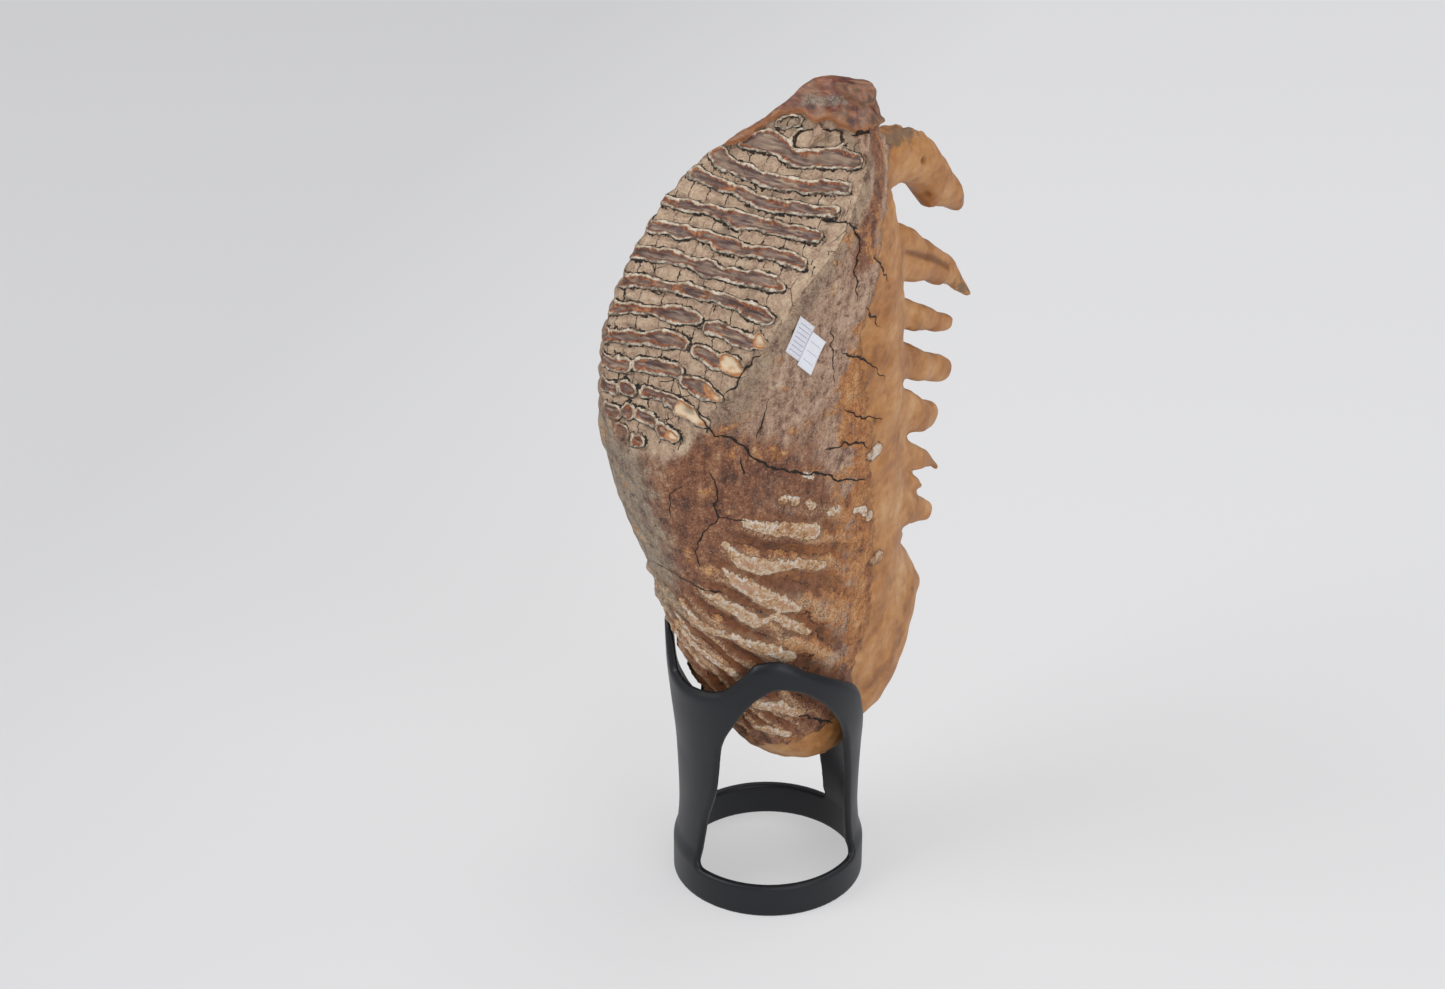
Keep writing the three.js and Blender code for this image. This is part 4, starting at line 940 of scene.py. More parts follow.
@dataclass(frozen=True)
class CrownShape:
    """Form of the crown: horizontal sections before wear, and how far forward the worn face reaches."""

    heights: tuple[float, ...] = (50, 53, 60, 75, 95, 120, 150, 180, 210, 240, 265, 285, 300, 314, 325, 331)
    middle_x: tuple[float, ...] = (2, 2, 1.5, -0.5, -1.5, -2.5, -3, -5, -5.5, -3.5, 1, 5, 8, 14, 16, 16)
    half_width: tuple[float, ...] = (12, 18, 23, 29, 34, 37, 39, 42, 43, 43, 41.5, 39, 33.5, 22.5, 14, 7)
    front: tuple[float, ...] = (5, -1, -9, -19, -28, -38, -49, -58, -65, -66, -60, -48, -36, -18, 0, 9)
    back: tuple[float, ...] = (24, 30, 36, 44, 51, 57, 59, 58, 55, 50, 41, 34, 29, 27, 24.5, 21)
    front_power: tuple[float, ...] = (
        2, 2, 2, 2, 2.05, 2.1, 2.25, 2.35, 2.3, 2.4, 2.5, 2.7, 2.7, 2.5, 2.3, 2.2)
    back_power: tuple[float, ...] = (
        2.2, 2.3, 2.3, 2.4, 2.6, 2.7, 2.65, 2.3, 2.35, 2.7, 2.8, 2.65, 2.5, 2.2, 2.1, 2.1)
    twist: tuple[float, ...] = (0, -2, -4, -6, -8, -10, -11, -16, -19, -14, -11, -6, -3, -1, 0, 0)
    wear_heights: tuple[float, ...] = (196, 208, 220, 234, 247, 260, 275, 288, 298, 308, 318, 331, 345)
    wear_front: tuple[float, ...] = (-67, -62.5, -59.5, -57, -53.5, -47, -37, -23.5, -13, -2, 8, 17, 25)
    samples: int = 1200

    def section(self, z: Array) -> tuple[Array, ...]:
        """Middle, half sizes, powers and twist in radians of the section at a height."""
        x, half, front, back, front_power, back_power, twist = (
            Curve(self.heights, values)(z)
            for values in (self.middle_x, self.half_width, self.front, self.back, self.front_power,
                           self.back_power, self.twist)
        )
        return x, (front + back) / 2, half, (back - front) / 2, front_power, back_power, np.radians(twist)

    def unworn(self, z: Array, turn: Array) -> Array:
        """Place on the unworn crown: an oval |cos|^p + |sin|^p = 1 at each height, with its own power front and back.

        Args:
            z: Heights, in millimetres.
            turn: Angles around the section, in radians.

        Returns:
            Points, with the arrays' common shape and one more axis for x, y and z.
        """
        x, y, half, depth, front_power, back_power, twist = self.section(z)
        cos, sin = np.cos(turn), np.sin(turn)
        power = np.where(sin < 0, front_power, back_power)
        reach = (np.abs(cos) ** power + np.abs(sin) ** power) ** (-1 / power)
        across, along = half * cos * reach, depth * sin * reach
        return np.stack(np.broadcast_arrays(
            x + across * np.cos(twist) - along * np.sin(twist),
            y + across * np.sin(twist) + along * np.cos(twist), z), -1)

    def distance(self, points: Array) -> Array:
        """Distance to the unworn crown, about that of its section at the point's height; inside is negative."""
        low, high = self.heights[0], self.heights[-1]
        z = np.clip(points[..., 2], low, high)
        x, y, half, depth, front_power, back_power, twist = self.section(z)
        dx, dy = points[..., 0] - x, points[..., 1] - y
        u = dx * np.cos(twist) + dy * np.sin(twist)
        v = dy * np.cos(twist) - dx * np.sin(twist)
        level = oval_distance(u, v, half, depth, np.where(v < 0, front_power, back_power))
        past = np.abs(points[..., 2] - z)
        return np.where(past > 0, np.hypot(np.maximum(level, 0), past), level)

    def wear(self, z: Array) -> Array:
        """How far forward the worn face lets the crown reach; below it the limit falls away at 45 degrees."""
        return Curve(self.wear_heights, self.wear_front)(z) - np.maximum(self.wear_heights[0] - z, 0)

    def face_length(self, z: Array) -> Array:
        """Length along the worn face up to a height: the sum of the face's small slanted steps."""
        steps = np.linspace(self.heights[0], self.heights[-1], self.samples)
        slant = np.hypot(np.diff(steps), np.diff(self.wear(steps)))
        return np.interp(z, steps, np.concatenate([[0], np.cumsum(slant)]))


@dataclass(frozen=True)
class RootShape:
    """One root: places along its middle with its half width along X and its half thickness.

    Attributes:
        places: Rows of x, y, z, half width and half thickness, in millimetres.
        end: How far past its last place the root is broken off square.
        power: Squareness of its section.
        end_edge: Rounding of the broken end's edge.
    """

    places: tuple[tuple[float, float, float, float, float], ...]
    end: float = 20.0
    power: float = 2.5
    end_edge: float = 0.9

    def path(self, runs: int = 12) -> Array:
        """Middle line in even runs, smooth through the places, with the half sizes beside it."""
        rows = np.array(self.places, float)
        at = np.arange(len(rows), dtype=float)
        fine = np.linspace(0, len(rows) - 1, runs + 1)
        return np.stack([Curve(tuple(at), tuple(column))(fine) for column in rows.T], -1)

    def distance(self, points: Array, reach: float = 14.0) -> Array:
        """Distance to the root: an oval across the nearest place of its middle line; inside is negative.

        Args:
            points: Places, in millimetres.
            reach: Distance that is given to places well away from the root, to save work.

        Returns:
            One distance for each place.
        """
        path = self.path()
        room = reach + path[:, 4].max()
        near = ((points[:, 1:] > path[:, 1:3].min(0) - room) & (points[:, 1:] < path[:, 1:3].max(0) + room)).all(1)
        close = points[near]
        offset, along, _ = nearest_on_path(close[:, 1:], path[:, 1:3])
        x, across, thick = (np.interp(along, np.arange(len(path)), path[:, k]) for k in (0, 3, 4))
        way = (path[-1] - path[-2])[1:3]
        past = (close[:, 1:] - path[-1, 1:3]) @ way / np.linalg.norm(way) - self.end
        result = np.full(len(points), reach)
        level = oval_distance(close[:, 0] - x, offset, across, thick, self.power)
        result[near] = smooth_max(level, past, self.end_edge)
        return result


NEAR_ROOTS = (
    RootShape(((28, 14, 302, 9, 11.7), (29, 28.5, 301, 8.5, 11.2), (30, 41.5, 297.5, 8, 9.3),
               (30, 51.5, 292, 7.5, 8.7), (30, 60.5, 283.5, 7, 8.2), (30, 68, 276.5, 6, 7.1), (30, 76.5, 270.5, 5, 5),
               (30, 81.8, 264.4, 3.5, 3.2)), 0.5),
    RootShape(((29, 45, 294, 5, 6), (30, 56, 282, 4.5, 4.5), (30, 60.8, 272.4, 3, 2)), 0.5),
    RootShape(((29, 20, 268, 8, 11.8), (30, 40, 259.6, 7.5, 10.4), (30, 47, 255.2, 7.5, 9), (30, 59.5, 249.1, 6.5, 7),
               (30, 69.5, 243.5, 5.5, 6.5), (31, 76.5, 238.5, 4, 4.6), (33, 81, 232.5, 2.6, 2.4),
               (35.5, 84, 228.5, 1, 0.8))),
    RootShape(((28, 24, 243, 6.5, 6.5), (29, 44.5, 233.5, 6, 5.8), (30, 56.5, 227.5, 5, 4.8), (30, 68.5, 221.4, 4, 3.9),
               (30, 78.6, 217, 3, 2.7)), 0.3),
    RootShape(((28, 24, 224, 8, 8.3), (29, 43.5, 214.5, 6.5, 7), (30, 53, 209.5, 5.5, 6), (30, 66, 203, 4.5, 5.5),
               (30, 75, 198.5, 3.8, 4.8), (30, 77.8, 197.3, 3.4, 4.3)), 0.3),
    RootShape(((28, 24, 203, 8, 10.8), (29, 43.5, 193.5, 7, 8.8), (30, 53.5, 187.7, 6, 7.1), (30, 64, 183, 4.5, 5.3),
               (30, 67.8, 180.9, 3.4, 4.1)), 0.2),
    RootShape(((28, 24, 186, 7, 8), (29, 44.5, 175, 6, 6.1), (30, 53, 169.7, 4.5, 4.9), (30, 63, 164.4, 3.2, 3.5),
               (30, 70, 159.8, 2, 1.9), (30, 73.5, 156.5, 1, 0.7))),
    RootShape(((28, 26, 172, 5, 4.2), (29, 43, 165, 4, 4), (30, 51, 160, 3, 3), (30, 60.5, 154, 1.6, 0.9))),
    RootShape(((27, 24, 163, 8, 11.3), (28, 40, 154, 7, 8.9), (29, 48, 150, 6, 7.1), (29.5, 57, 145, 4.5, 5.9),
               (30, 65.5, 140.5, 3, 3.8), (30, 67.3, 139.7, 2.4, 3.3)), 0.2),
    RootShape(((26, 36, 142, 5, 5), (27.5, 45, 138.5, 3.2, 3), (28, 49.5, 136.6, 1.6, 1.2)), 0.5),
    RootShape(((22, 50, 114, 7, 9), (24.5, 61, 108.5, 4.5, 6), (26, 68.2, 104.8, 2, 1.8)), 0.5),
)


def far_roots(count: int = 7) -> tuple[RootShape, ...]:
    """Roots of the unseen side, evenly spaced from the top down, each a little longer or shorter than the last."""
    roots = []
    for k in range(count):
        reach, z = 34 + 7 * math.sin(2.3 * k), 262 - 19 * k
        roots.append(RootShape(tuple(
            (-24 + shift, 30 + reach * out, z - 17 * out, 7.5 * across, 8.5 * thick)
            for out, shift, across, thick in ((0, 0, 1, 1), (0.45, 0, 0.8, 0.75), (0.75, -1, 0.6, 0.5),
                                              (0.98, -1, 0.28, 0.2)))))
    return tuple(roots)


def wing_distance(points: Array) -> Array:
    """Distance to the broad hind root: an oval at each height, closed smoothly at both ends."""
    heights = (61, 68, 77, 92, 107, 116, 130, 142)
    x, y, half_x, half_y = (Curve(heights, values)(points[:, 2]) for values in (
        (17, 19, 20, 21, 22, 22, 22, 22), (26, 31, 35, 37, 37, 37, 36, 35),
        (7, 10, 12, 13, 13, 12, 10, 7), (8, 15, 23, 29, 32, 30, 20, 12)))
    level = oval_distance(points[:, 0] - x, points[:, 1] - y, half_x, half_y)
    low, high, edge = 60.5, 143.5, 5
    return smooth_max(smooth_max(level, low - points[:, 2], edge), points[:, 2] - high, edge)


@dataclass(frozen=True)
class Molar:
    """The molar: its crown as one grid, and two skins of roots that grow out of it.

    Spacings and sizes are in millimetres.
    """

    shape: CrownShape = field(default_factory=CrownShape)
    face_step: float = 0.72
    side_step: float = 1.4
    back_step: float = 2.6
    far_step: float = 1.9
    low_step: float = 1.5
    face_edge: float = 3.0
    end_rings: int = 9
    low_dome: float = 2.2
    top_dome: float = 0.35
    root_cell: float = 1.15
    root_blend: float = 3.4
    crown_blend: float = 5.5
    crown_inset: float = 1.3
    root_reach: float = 10.0
    ring_height: float = 240.0
    rib_top: float = 187.0
    rib_step: float = 12.5
    left_rib_step: float = 7.4

    def turns(self) -> Array:
        """Angles of the grid's columns: one wide section is shared out by its length over the wanted step."""
        turn = np.linspace(0, 2 * math.pi, 4001)
        ring = self.shape.unworn(np.array(self.ring_height), turn)
        length = np.linalg.norm(np.diff(ring, axis=0), axis=1)
        middle = np.degrees((turn[1:] + turn[:-1]) / 2)
        step = Curve((0, 40, 75, 120, 150, 192, 203, 325, 338, 360),
                     (self.side_step, self.side_step, self.back_step, self.back_step, self.far_step, self.far_step,
                      self.face_step, self.face_step, self.side_step, self.side_step))(middle)
        count = np.concatenate([[0], np.cumsum(length / step)])
        columns = int(count[-1])
        return np.interp(np.arange(columns) * count[-1] / columns, count, turn)

    def rows(self) -> Array:
        """Heights of the grid's rows: even low down, and even along the slant of the worn face above."""
        z = np.linspace(self.shape.heights[0], self.shape.heights[-1] - self.top_dome, 3000)
        middle = (z[1:] + z[:-1]) / 2
        slant = np.hypot(np.diff(z), np.diff(self.shape.wear(z)) * (middle > 200))
        step = Curve((190, 204), (self.low_step, self.face_step))(middle)
        count = np.concatenate([[0], np.cumsum(slant / step)])
        return np.interp(np.arange(int(count[-1]) + 1) * count[-1] / int(count[-1]), count, z)

    def crown_points(self) -> tuple[Array, Array, Array, Array]:
        """Grid of the crown without relief.

        y is the smooth maximum of the unworn oval and the worn face. Each end is closed by rings that shrink to a
        point as the cosine and rise as the sine of a quarter turn.

        Returns:
            Points by row and column, outward normals, the depth of wear and the number of rows and columns.
        """
        z, turn = self.rows()[:, None], self.turns()[None, :]
        points = self.shape.unworn(z, turn)
        wear = self.shape.wear(z)
        depth = wear - points[..., 1]
        points[..., 1] = smooth_max(points[..., 1], np.broadcast_to(wear, depth.shape), self.face_edge)
        quarter = np.linspace(0, math.pi / 2, self.end_rings + 1)[1:]
        ends = []
        for ring, dome in ((points[0], -self.low_dome), (points[-1], self.top_dome)):
            centre = ring.mean(0)
            rings = centre + (ring - centre)[None] * np.maximum(np.cos(quarter), 0.004)[:, None, None]
            rings[..., 2] += dome * np.sin(quarter)[:, None]
            ends.append(rings)
        points = np.concatenate([ends[0][::-1], points, ends[1]])
        depth = np.pad(depth, ((self.end_rings, self.end_rings), (0, 0)), "edge")
        up = np.gradient(points, axis=0)
        around = (np.roll(points, -1, 1) - np.roll(points, 1, 1)) / 2
        normal = np.cross(around, up)
        normal /= np.maximum(np.linalg.norm(normal, axis=-1, keepdims=True), 1e-9)
        return points, normal, depth, np.array(points.shape[:2])

    def loop_distance(self, x: Array, length: Array, spine: Spine) -> tuple[Array, Array]:
        """Distance on the worn face to a loop's outline, and the height above its middle.

        The distance is that to the loop's middle curve, less its half thickness there.
        """
        across, heights, halves = (tuple(values) for values in zip(*spine))
        middle = Curve(across, tuple(self.shape.face_length(np.array(heights))))
        t = np.clip(x, across[0], across[-1])
        above = (length - middle(t)) / np.sqrt(1 + middle.slope(t) ** 2)
        return np.hypot(x - t, above) - Curve(across, halves)(t), above

    def plate_top(self, points: Array) -> Array:
        """Height at the front of the plate that meets the side at a point, found by stepping towards it."""
        x, y, z = points.T
        top = z.copy()
        front = Curve(self.shape.heights, self.shape.front)
        for _ in range(14):
            low = fade(top, 185, 115)
            wanted = z + 0.75 * low * x + (0.45 + 0.35 * low) * (y - front(top))
            top = top + 0.6 * (wanted - top)
        return top

    def face_marks(self, points: Array) -> dict[str, Array]:
        """Distances on the chewing face: to the enamel, to its bare ends and to the smooth mass above the face.

        Args:
            points: Places on the molar.

        Returns:
            Millimetres by name, and the number of the strip of cement counted from the top.
        """
        x, z = points[:, 0], points[:, 2]
        bent = x + 0.5 * lumps(points, 7, 1), self.shape.face_length(z) + 0.45 * lumps(points, 6, 2)
        plate, upper = np.full(len(points), FACE_FAR), np.zeros(len(points))
        for spine in LOOPS:
            distance, above = self.loop_distance(*bent, spine)
            upper = np.where(distance < plate, above, upper)
            plate = np.minimum(plate, distance)
        for spine in ISLANDS:
            ring, above = self.loop_distance(*bent, spine)
            ring = 1.8 * np.abs(ring) - 0.4
            upper = np.where(ring < plate, above, upper)
            plate = np.minimum(plate, ring)
        block = np.full(len(points), FACE_FAR)
        for spine in BLOCKS:
            distance, above = self.loop_distance(*bent, spine)
            block = np.minimum(block, distance)
            around = np.where((above < -0.5) | (x < 9), 1.6 * np.abs(distance - 1.3) - 0.4, FACE_FAR)
            plate = np.minimum(plate, around)
        tip = np.full(len(points), FACE_FAR)
        for spine in LOOP_TIPS:
            tip = np.minimum(tip, self.loop_distance(*bent, spine)[0])
        plate = np.minimum(plate, tip - 0.1)
        scar = self.loop_distance(*bent, SCAR)[0]
        border = Curve((-15, -7.7, -4.5, 1.2, 6.4, 8.4, 13.9, 18.6, 22.5, 27.7, 31.8, 36),
                       (307, 312.5, 315.3, 318.6, 319.2, 317.7, 318.3, 318.7, 317.6, 317, 317.3, 320.5))(x)
        crest = 1.25 * (z - border + 0.5 * lumps(points, 5, 6))
        strip = np.interp(z, (213, 221, 229, 238, 247.5, 257, 265, 274, 281.5, 288.5, 295, 300.5, 309, 316),
                          np.arange(13, -1, -1))
        return {"plate": plate, "upper": upper, "tip": tip, "crest": crest, "strip": strip, "block": block,
                "scar": scar}

    def crack_marks(self, points: Array, normal: Array) -> dict[str, Array]:
        """Distance along the surface to the nearest crack, and the same over the crack's half width, with its side."""
        drift = points + 0.5 * np.stack([lumps(points, 5, 3), lumps(points, 5, 4), lumps(points, 5, 5)], -1)
        side, near = np.full(len(points), SPOT_FAR), np.full(len(points), SPOT_FAR)
        for half, path in CRACKS:
            corners = np.array(path)
            _, along, way = nearest_on_path(drift, corners)
            place = np.stack([np.interp(along, np.arange(len(corners)), corners[:, k]) for k in range(3)], -1)
            offset = drift - place
            off = (offset * normal).sum(-1)
            flat = np.linalg.norm(offset - off[:, None] * normal, axis=1) + np.maximum(np.abs(off) - 6, 0)
            closer = flat < near
            near = np.where(closer, flat, near)
            sign = np.sign((np.cross(way, offset) * normal).sum(-1))
            taper = half * (0.55 + 0.45 * np.sin(math.pi * np.clip(along / (len(corners) - 1), 0.08, 0.92)))
            side = np.where(closer, sign * flat / taper, side)
        return {"crack_side": side, "crack_near": near}

    def track_distance(self, points: Array, tracks: tuple[Track, ...]) -> Array:
        """Distance to the nearest of some tracks: to its middle line, less its half width there."""
        nearest = np.full(len(points), SPOT_FAR)
        for track in tracks:
            rows = np.array(track)
            distance, along, _ = nearest_on_path(points, rows[:, :3])
            nearest = np.minimum(nearest, distance - np.interp(along, np.arange(len(rows)), rows[:, 3]))
        return nearest

    def spot_marks(self, points: Array) -> dict[str, Array]:
        """Distances in millimetres to the outlines of the bare enamel, its knobs, the grooves and the stains."""
        knob = np.full(len(points), SPOT_FAR)
        for x, y, z, radius in KNOBS:
            knob = np.minimum(knob, np.linalg.norm((points - (x, y, z)) * KNOB_SCALE, axis=1) - radius)
        return {"patch": self.track_distance(points, PATCHES), "knob": knob,
                "groove": self.track_distance(points, GROOVES), "soiled": self.track_distance(points, STAINS)}

    def marks(self, points: Array, normal: Array, depth: Array) -> dict[str, Array]:
        """Values that the relief and the material follow, for each point.

        Args:
            points: Places on the molar.
            normal: Outward directions.
            depth: How much wear took away along Y, negative off the worn face.

        Returns:
            Distances in millimetres, parts that are 0 off a stain, a rib or the stand's painted shade and about 1 on
            it, and the ribs counted from the top, by name.
        """
        x, y, z = points.T
        values = self.face_marks(points) | self.crack_marks(points, normal) | self.spot_marks(points)
        border = Curve((56, 66, 72, 80, 98, 118, 140, 153, 169, 184, 200, 214, 228, 245, 259, 276, 284, 290, 299, 320),
                       (-18, -12, -3, 7, 8.5, 13, 13, 12, 8.6, 5, 4.5, 1, -4, -6, -4.5, -0.4, 1, 3.5, 13.5, 24))(z)
        stain = Curve((184, 199, 208, 215, 228, 240, 250, 260, 276), (-7, -11, -13, -13, -10, -6, -4, -1, 4))(z)
        near_side = fade(normal[:, 0], -0.35, 0.25)
        rootward = y - border - 8 * (1 - near_side)
        low = fade(z, 186, 160)
        phase = (self.rib_top - self.plate_top(points)) / self.rib_step
        # Painted shade of the stand: below about 120 mm, inside the stand, the side loses its ochre and turns darker
        # red-brown
        end = fade(z, 120, 92)
        ochre = low * fade(y, -46, -12) * (0.95 - 0.45 * fade(z, 145, 118))
        ochre = ochre + 0.3 * fade(z, 132, 112) - 0.8 * end + 0.3 * fade(rootward, -14, 2)
        drift = y - stain + 4 * lumps(points, 17, 24)
        ochre = ochre + 0.85 * fade(drift, -8, 6) * fade(z, 166, 180) * fade(z, 270, 254) * near_side
        grey = fade(z, 222, 205) * fade(z, 108, 132) * fade(x, 3, -21) * 0.85 + fade(normal[:, 0], -0.1, -0.8) * 0.45
        upper = fade(z, 258, 280) * fade(rootward, -20, -12) * (1 - 0.65 * fade(rootward, -10, -3))
        ribbed = fade(z + 34 * fade(x, 20, -4), 190, 172) * fade(rootward, -2, -30)
        return values | {
            "face": np.clip(depth + 5 * fade(x, -28, -36) * fade(z, 206, 216), -FACE_FAR, FACE_FAR),
            "rootward": rootward,
            # The ruddy part also holds the painted shade of the stand, low down
            "ruddy": (fade(z + 0.75 * (y + 50), 232, 206) * fade(z, 100, 130) * fade(y, 4, -26)
                      + upper + end + 0.45 * fade(z, 240, 216) * fade(z, 196, 204) * fade(x, 24, 33)),
            "ochre": ochre, "greyness": grey,
            "ribs": phase + 0.08 * lumps(points, 14, 12) + 0.1 * lumps(points, 34, 19),
            "ribbed": ribbed * (1 + 0.6 * fade(z, 150, 118)),
        }

    def relief(self, points: Array, normal: Array, marks: dict[str, Array]) -> Array:
        """Height to add along the normal: enamel stands proud, dentine and crevices are low, ribs cross the side."""
        x, y, z = points.T
        plate, crest = marks["plate"], fade(marks["crest"], -0.5, 1.1)
        worn = 0.5 * np.exp(-((plate / 0.85) ** 2)) - 0.65 * fade(plate, -0.6, -1.8)
        worn = worn - 0.75 * fade(plate, 0.6, 1.3) + 0.5 * fade(plate, 1.3, 2.7)
        worn = worn - 0.5 * np.exp(-((marks["block"] - 0.4) ** 2) / 0.4)
        worn = worn + 0.28 * lumps(points, 9, 11) + 0.14 * lumps(points, 3.2, 16)
        rib = np.cos(2 * math.pi * marks["ribs"])
        rib = rib + (1 - rib) * fade(marks["patch"], 6, 0)
        side = 0.9 * rib - 0.2 * fade(z, 124, 112) * rib + 0.25 * lumps(points, 3.4, 23)
        side = np.minimum(marks["ribbed"], 1.35) * side
        side = side + 0.3 * lumps(points, 16, 13) + 0.16 * lumps(points, 5, 14)
        side = side + 0.75 * fade(marks["patch"], 1.2, -0.2) + 0.8 * fade(marks["knob"], 0.6, -0.8)
        left = fade(normal[:, 0], -0.3, -0.8) * fade(z, 205, 225)
        side = side + 0.55 * left * np.cos(2 * math.pi * (z - 288) / self.left_rib_step)
        face = fade(marks["face"], 0.2, 2.0)
        height = face * worn + (1 - face) * side
        mass = 0.75 + 0.5 * lumps(points, 9, 15) + 0.12 * lumps(points, 3.5, 17)
        mass = mass + 2.6 * fade(z, 324.5, 327) * fade(x, 18, 24)
        jags = 0.4 + 1.2 * np.tanh(2.5 * lumps(points, 5, 18))
        mass = mass + (fade(y, 10, 18) * fade(x, 22, 28)) * jags
        height = height * (1 - crest) + crest * mass - 0.55 * np.exp(-((marks["crest"] + 0.6) ** 2)) * face
        height = height - 0.55 * np.exp(-((marks["crack_near"] / 0.8) ** 2))
        return height * fade(z, 331.3, 329.5)

    def crown(self, finish: bpy.types.Material) -> bpy.types.Object:
        """The crown's grid with its relief, as a finished piece."""
        points, normal, depth, (rows, columns) = self.crown_points()
        points, normal, depth = points.reshape(-1, 3), normal.reshape(-1, 3), depth.ravel()
        marks = self.marks(points, normal, depth)
        marks["height"] = self.relief(points, normal, marks)
        placed = points + normal * marks["height"][:, None]
        grid = grid_faces(rows, columns, closed=True)
        low, high = placed[:columns].mean(0), placed[-columns:].mean(0)
        ring = np.arange(columns)
        after = (ring + 1) % columns
        total, last = len(placed), (rows - 1) * columns
        caps = np.concatenate([
            np.stack([np.full(columns, total), after, ring], -1),
            np.stack([np.full(columns, total + 1), last + ring, last + after], -1)])
        ends = {name: np.concatenate([values, values[:1], values[-1:]]) for name, values in marks.items()}
        piece = mesh_piece("molar_crown", np.concatenate([placed, [low, high]]), [grid, caps], ends)
        piece.data.materials.append(finish)
        return piece

    def roots(self, name: str, shapes: tuple[RootShape, ...], box: tuple[tuple[float, ...], tuple[float, ...]],
              wing: bool, finish: bpy.types.Material) -> bpy.types.Object:
        """A row of roots as one skin that runs smoothly into the crown.

        The field is the smooth minimum of the roots and of the crown, set in a little, and it ends a few
        millimetres inside the crown.

        Args:
            name: Name of the piece.
            shapes: The roots.
            box: Lowest and highest corner of the room they take.
            wing: Whether the broad hind root is one of them.
            finish: Material of the molar.

        Returns:
            The finished piece.
        """

        def field_of(points: Array) -> Array:
            """Distance to the roots and the crown beside them."""
            rooted = wing_distance(points) if wing else np.full(len(points), 50.0)
            for root in shapes:
                rooted = smooth_min(rooted, root.distance(points), self.root_blend)
            rooted = rooted + 0.32 * lumps(points, 13, 21) + 0.1 * lumps(points, 4.5, 22)
            crown = self.shape.distance(points) + self.crown_inset
            return np.maximum(smooth_min(rooted, crown, self.crown_blend), rooted - self.root_reach)

        points, faces = skin_of(field_of, *box, self.root_cell)
        normal = slopes_of(field_of, points, 0.3)
        normal /= np.maximum(np.linalg.norm(normal, axis=-1, keepdims=True), 1e-9)
        marks = self.marks(points, normal, np.full(len(points), -FACE_FAR))
        marks["height"] = 0.4 * lumps(points, 13, 21)
        groove = 1.5 * fade(marks["groove"], 2.2, -0.6) + 0.5 * np.exp(-((marks["crack_near"] / 0.8) ** 2))
        groove = groove + 0.7 * fade(marks["soiled"], 2, -1) * fade(points[:, 2], 290, 300) * lumps(points, 4, 25)
        piece = mesh_piece(name, points - normal * groove[:, None], [faces], marks)
        piece.data.materials.append(finish)
        return piece

    def build(self) -> list[bpy.types.Object]:
        """Crown, near roots and far roots, which together stand for the solid molar."""
        finish = FossilFinish().build()
        near_box = (2.0, 0.0, 56.0), (46.0, 87.0, 318.0)
        far_box = (-42.0, 12.0, 120.0), (-8.0, 76.0, 276.0)
        pieces = [
            self.crown(finish),
            self.roots("molar_roots_near", NEAR_ROOTS, near_box, True, finish),
            self.roots("molar_roots_far", far_roots(), far_box, False, finish),
        ]
        for piece in pieces:
            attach(piece, "root")
            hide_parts("molar")
        return pieces


# ---- the stand ---------------------------------------------------------------------------------------------------


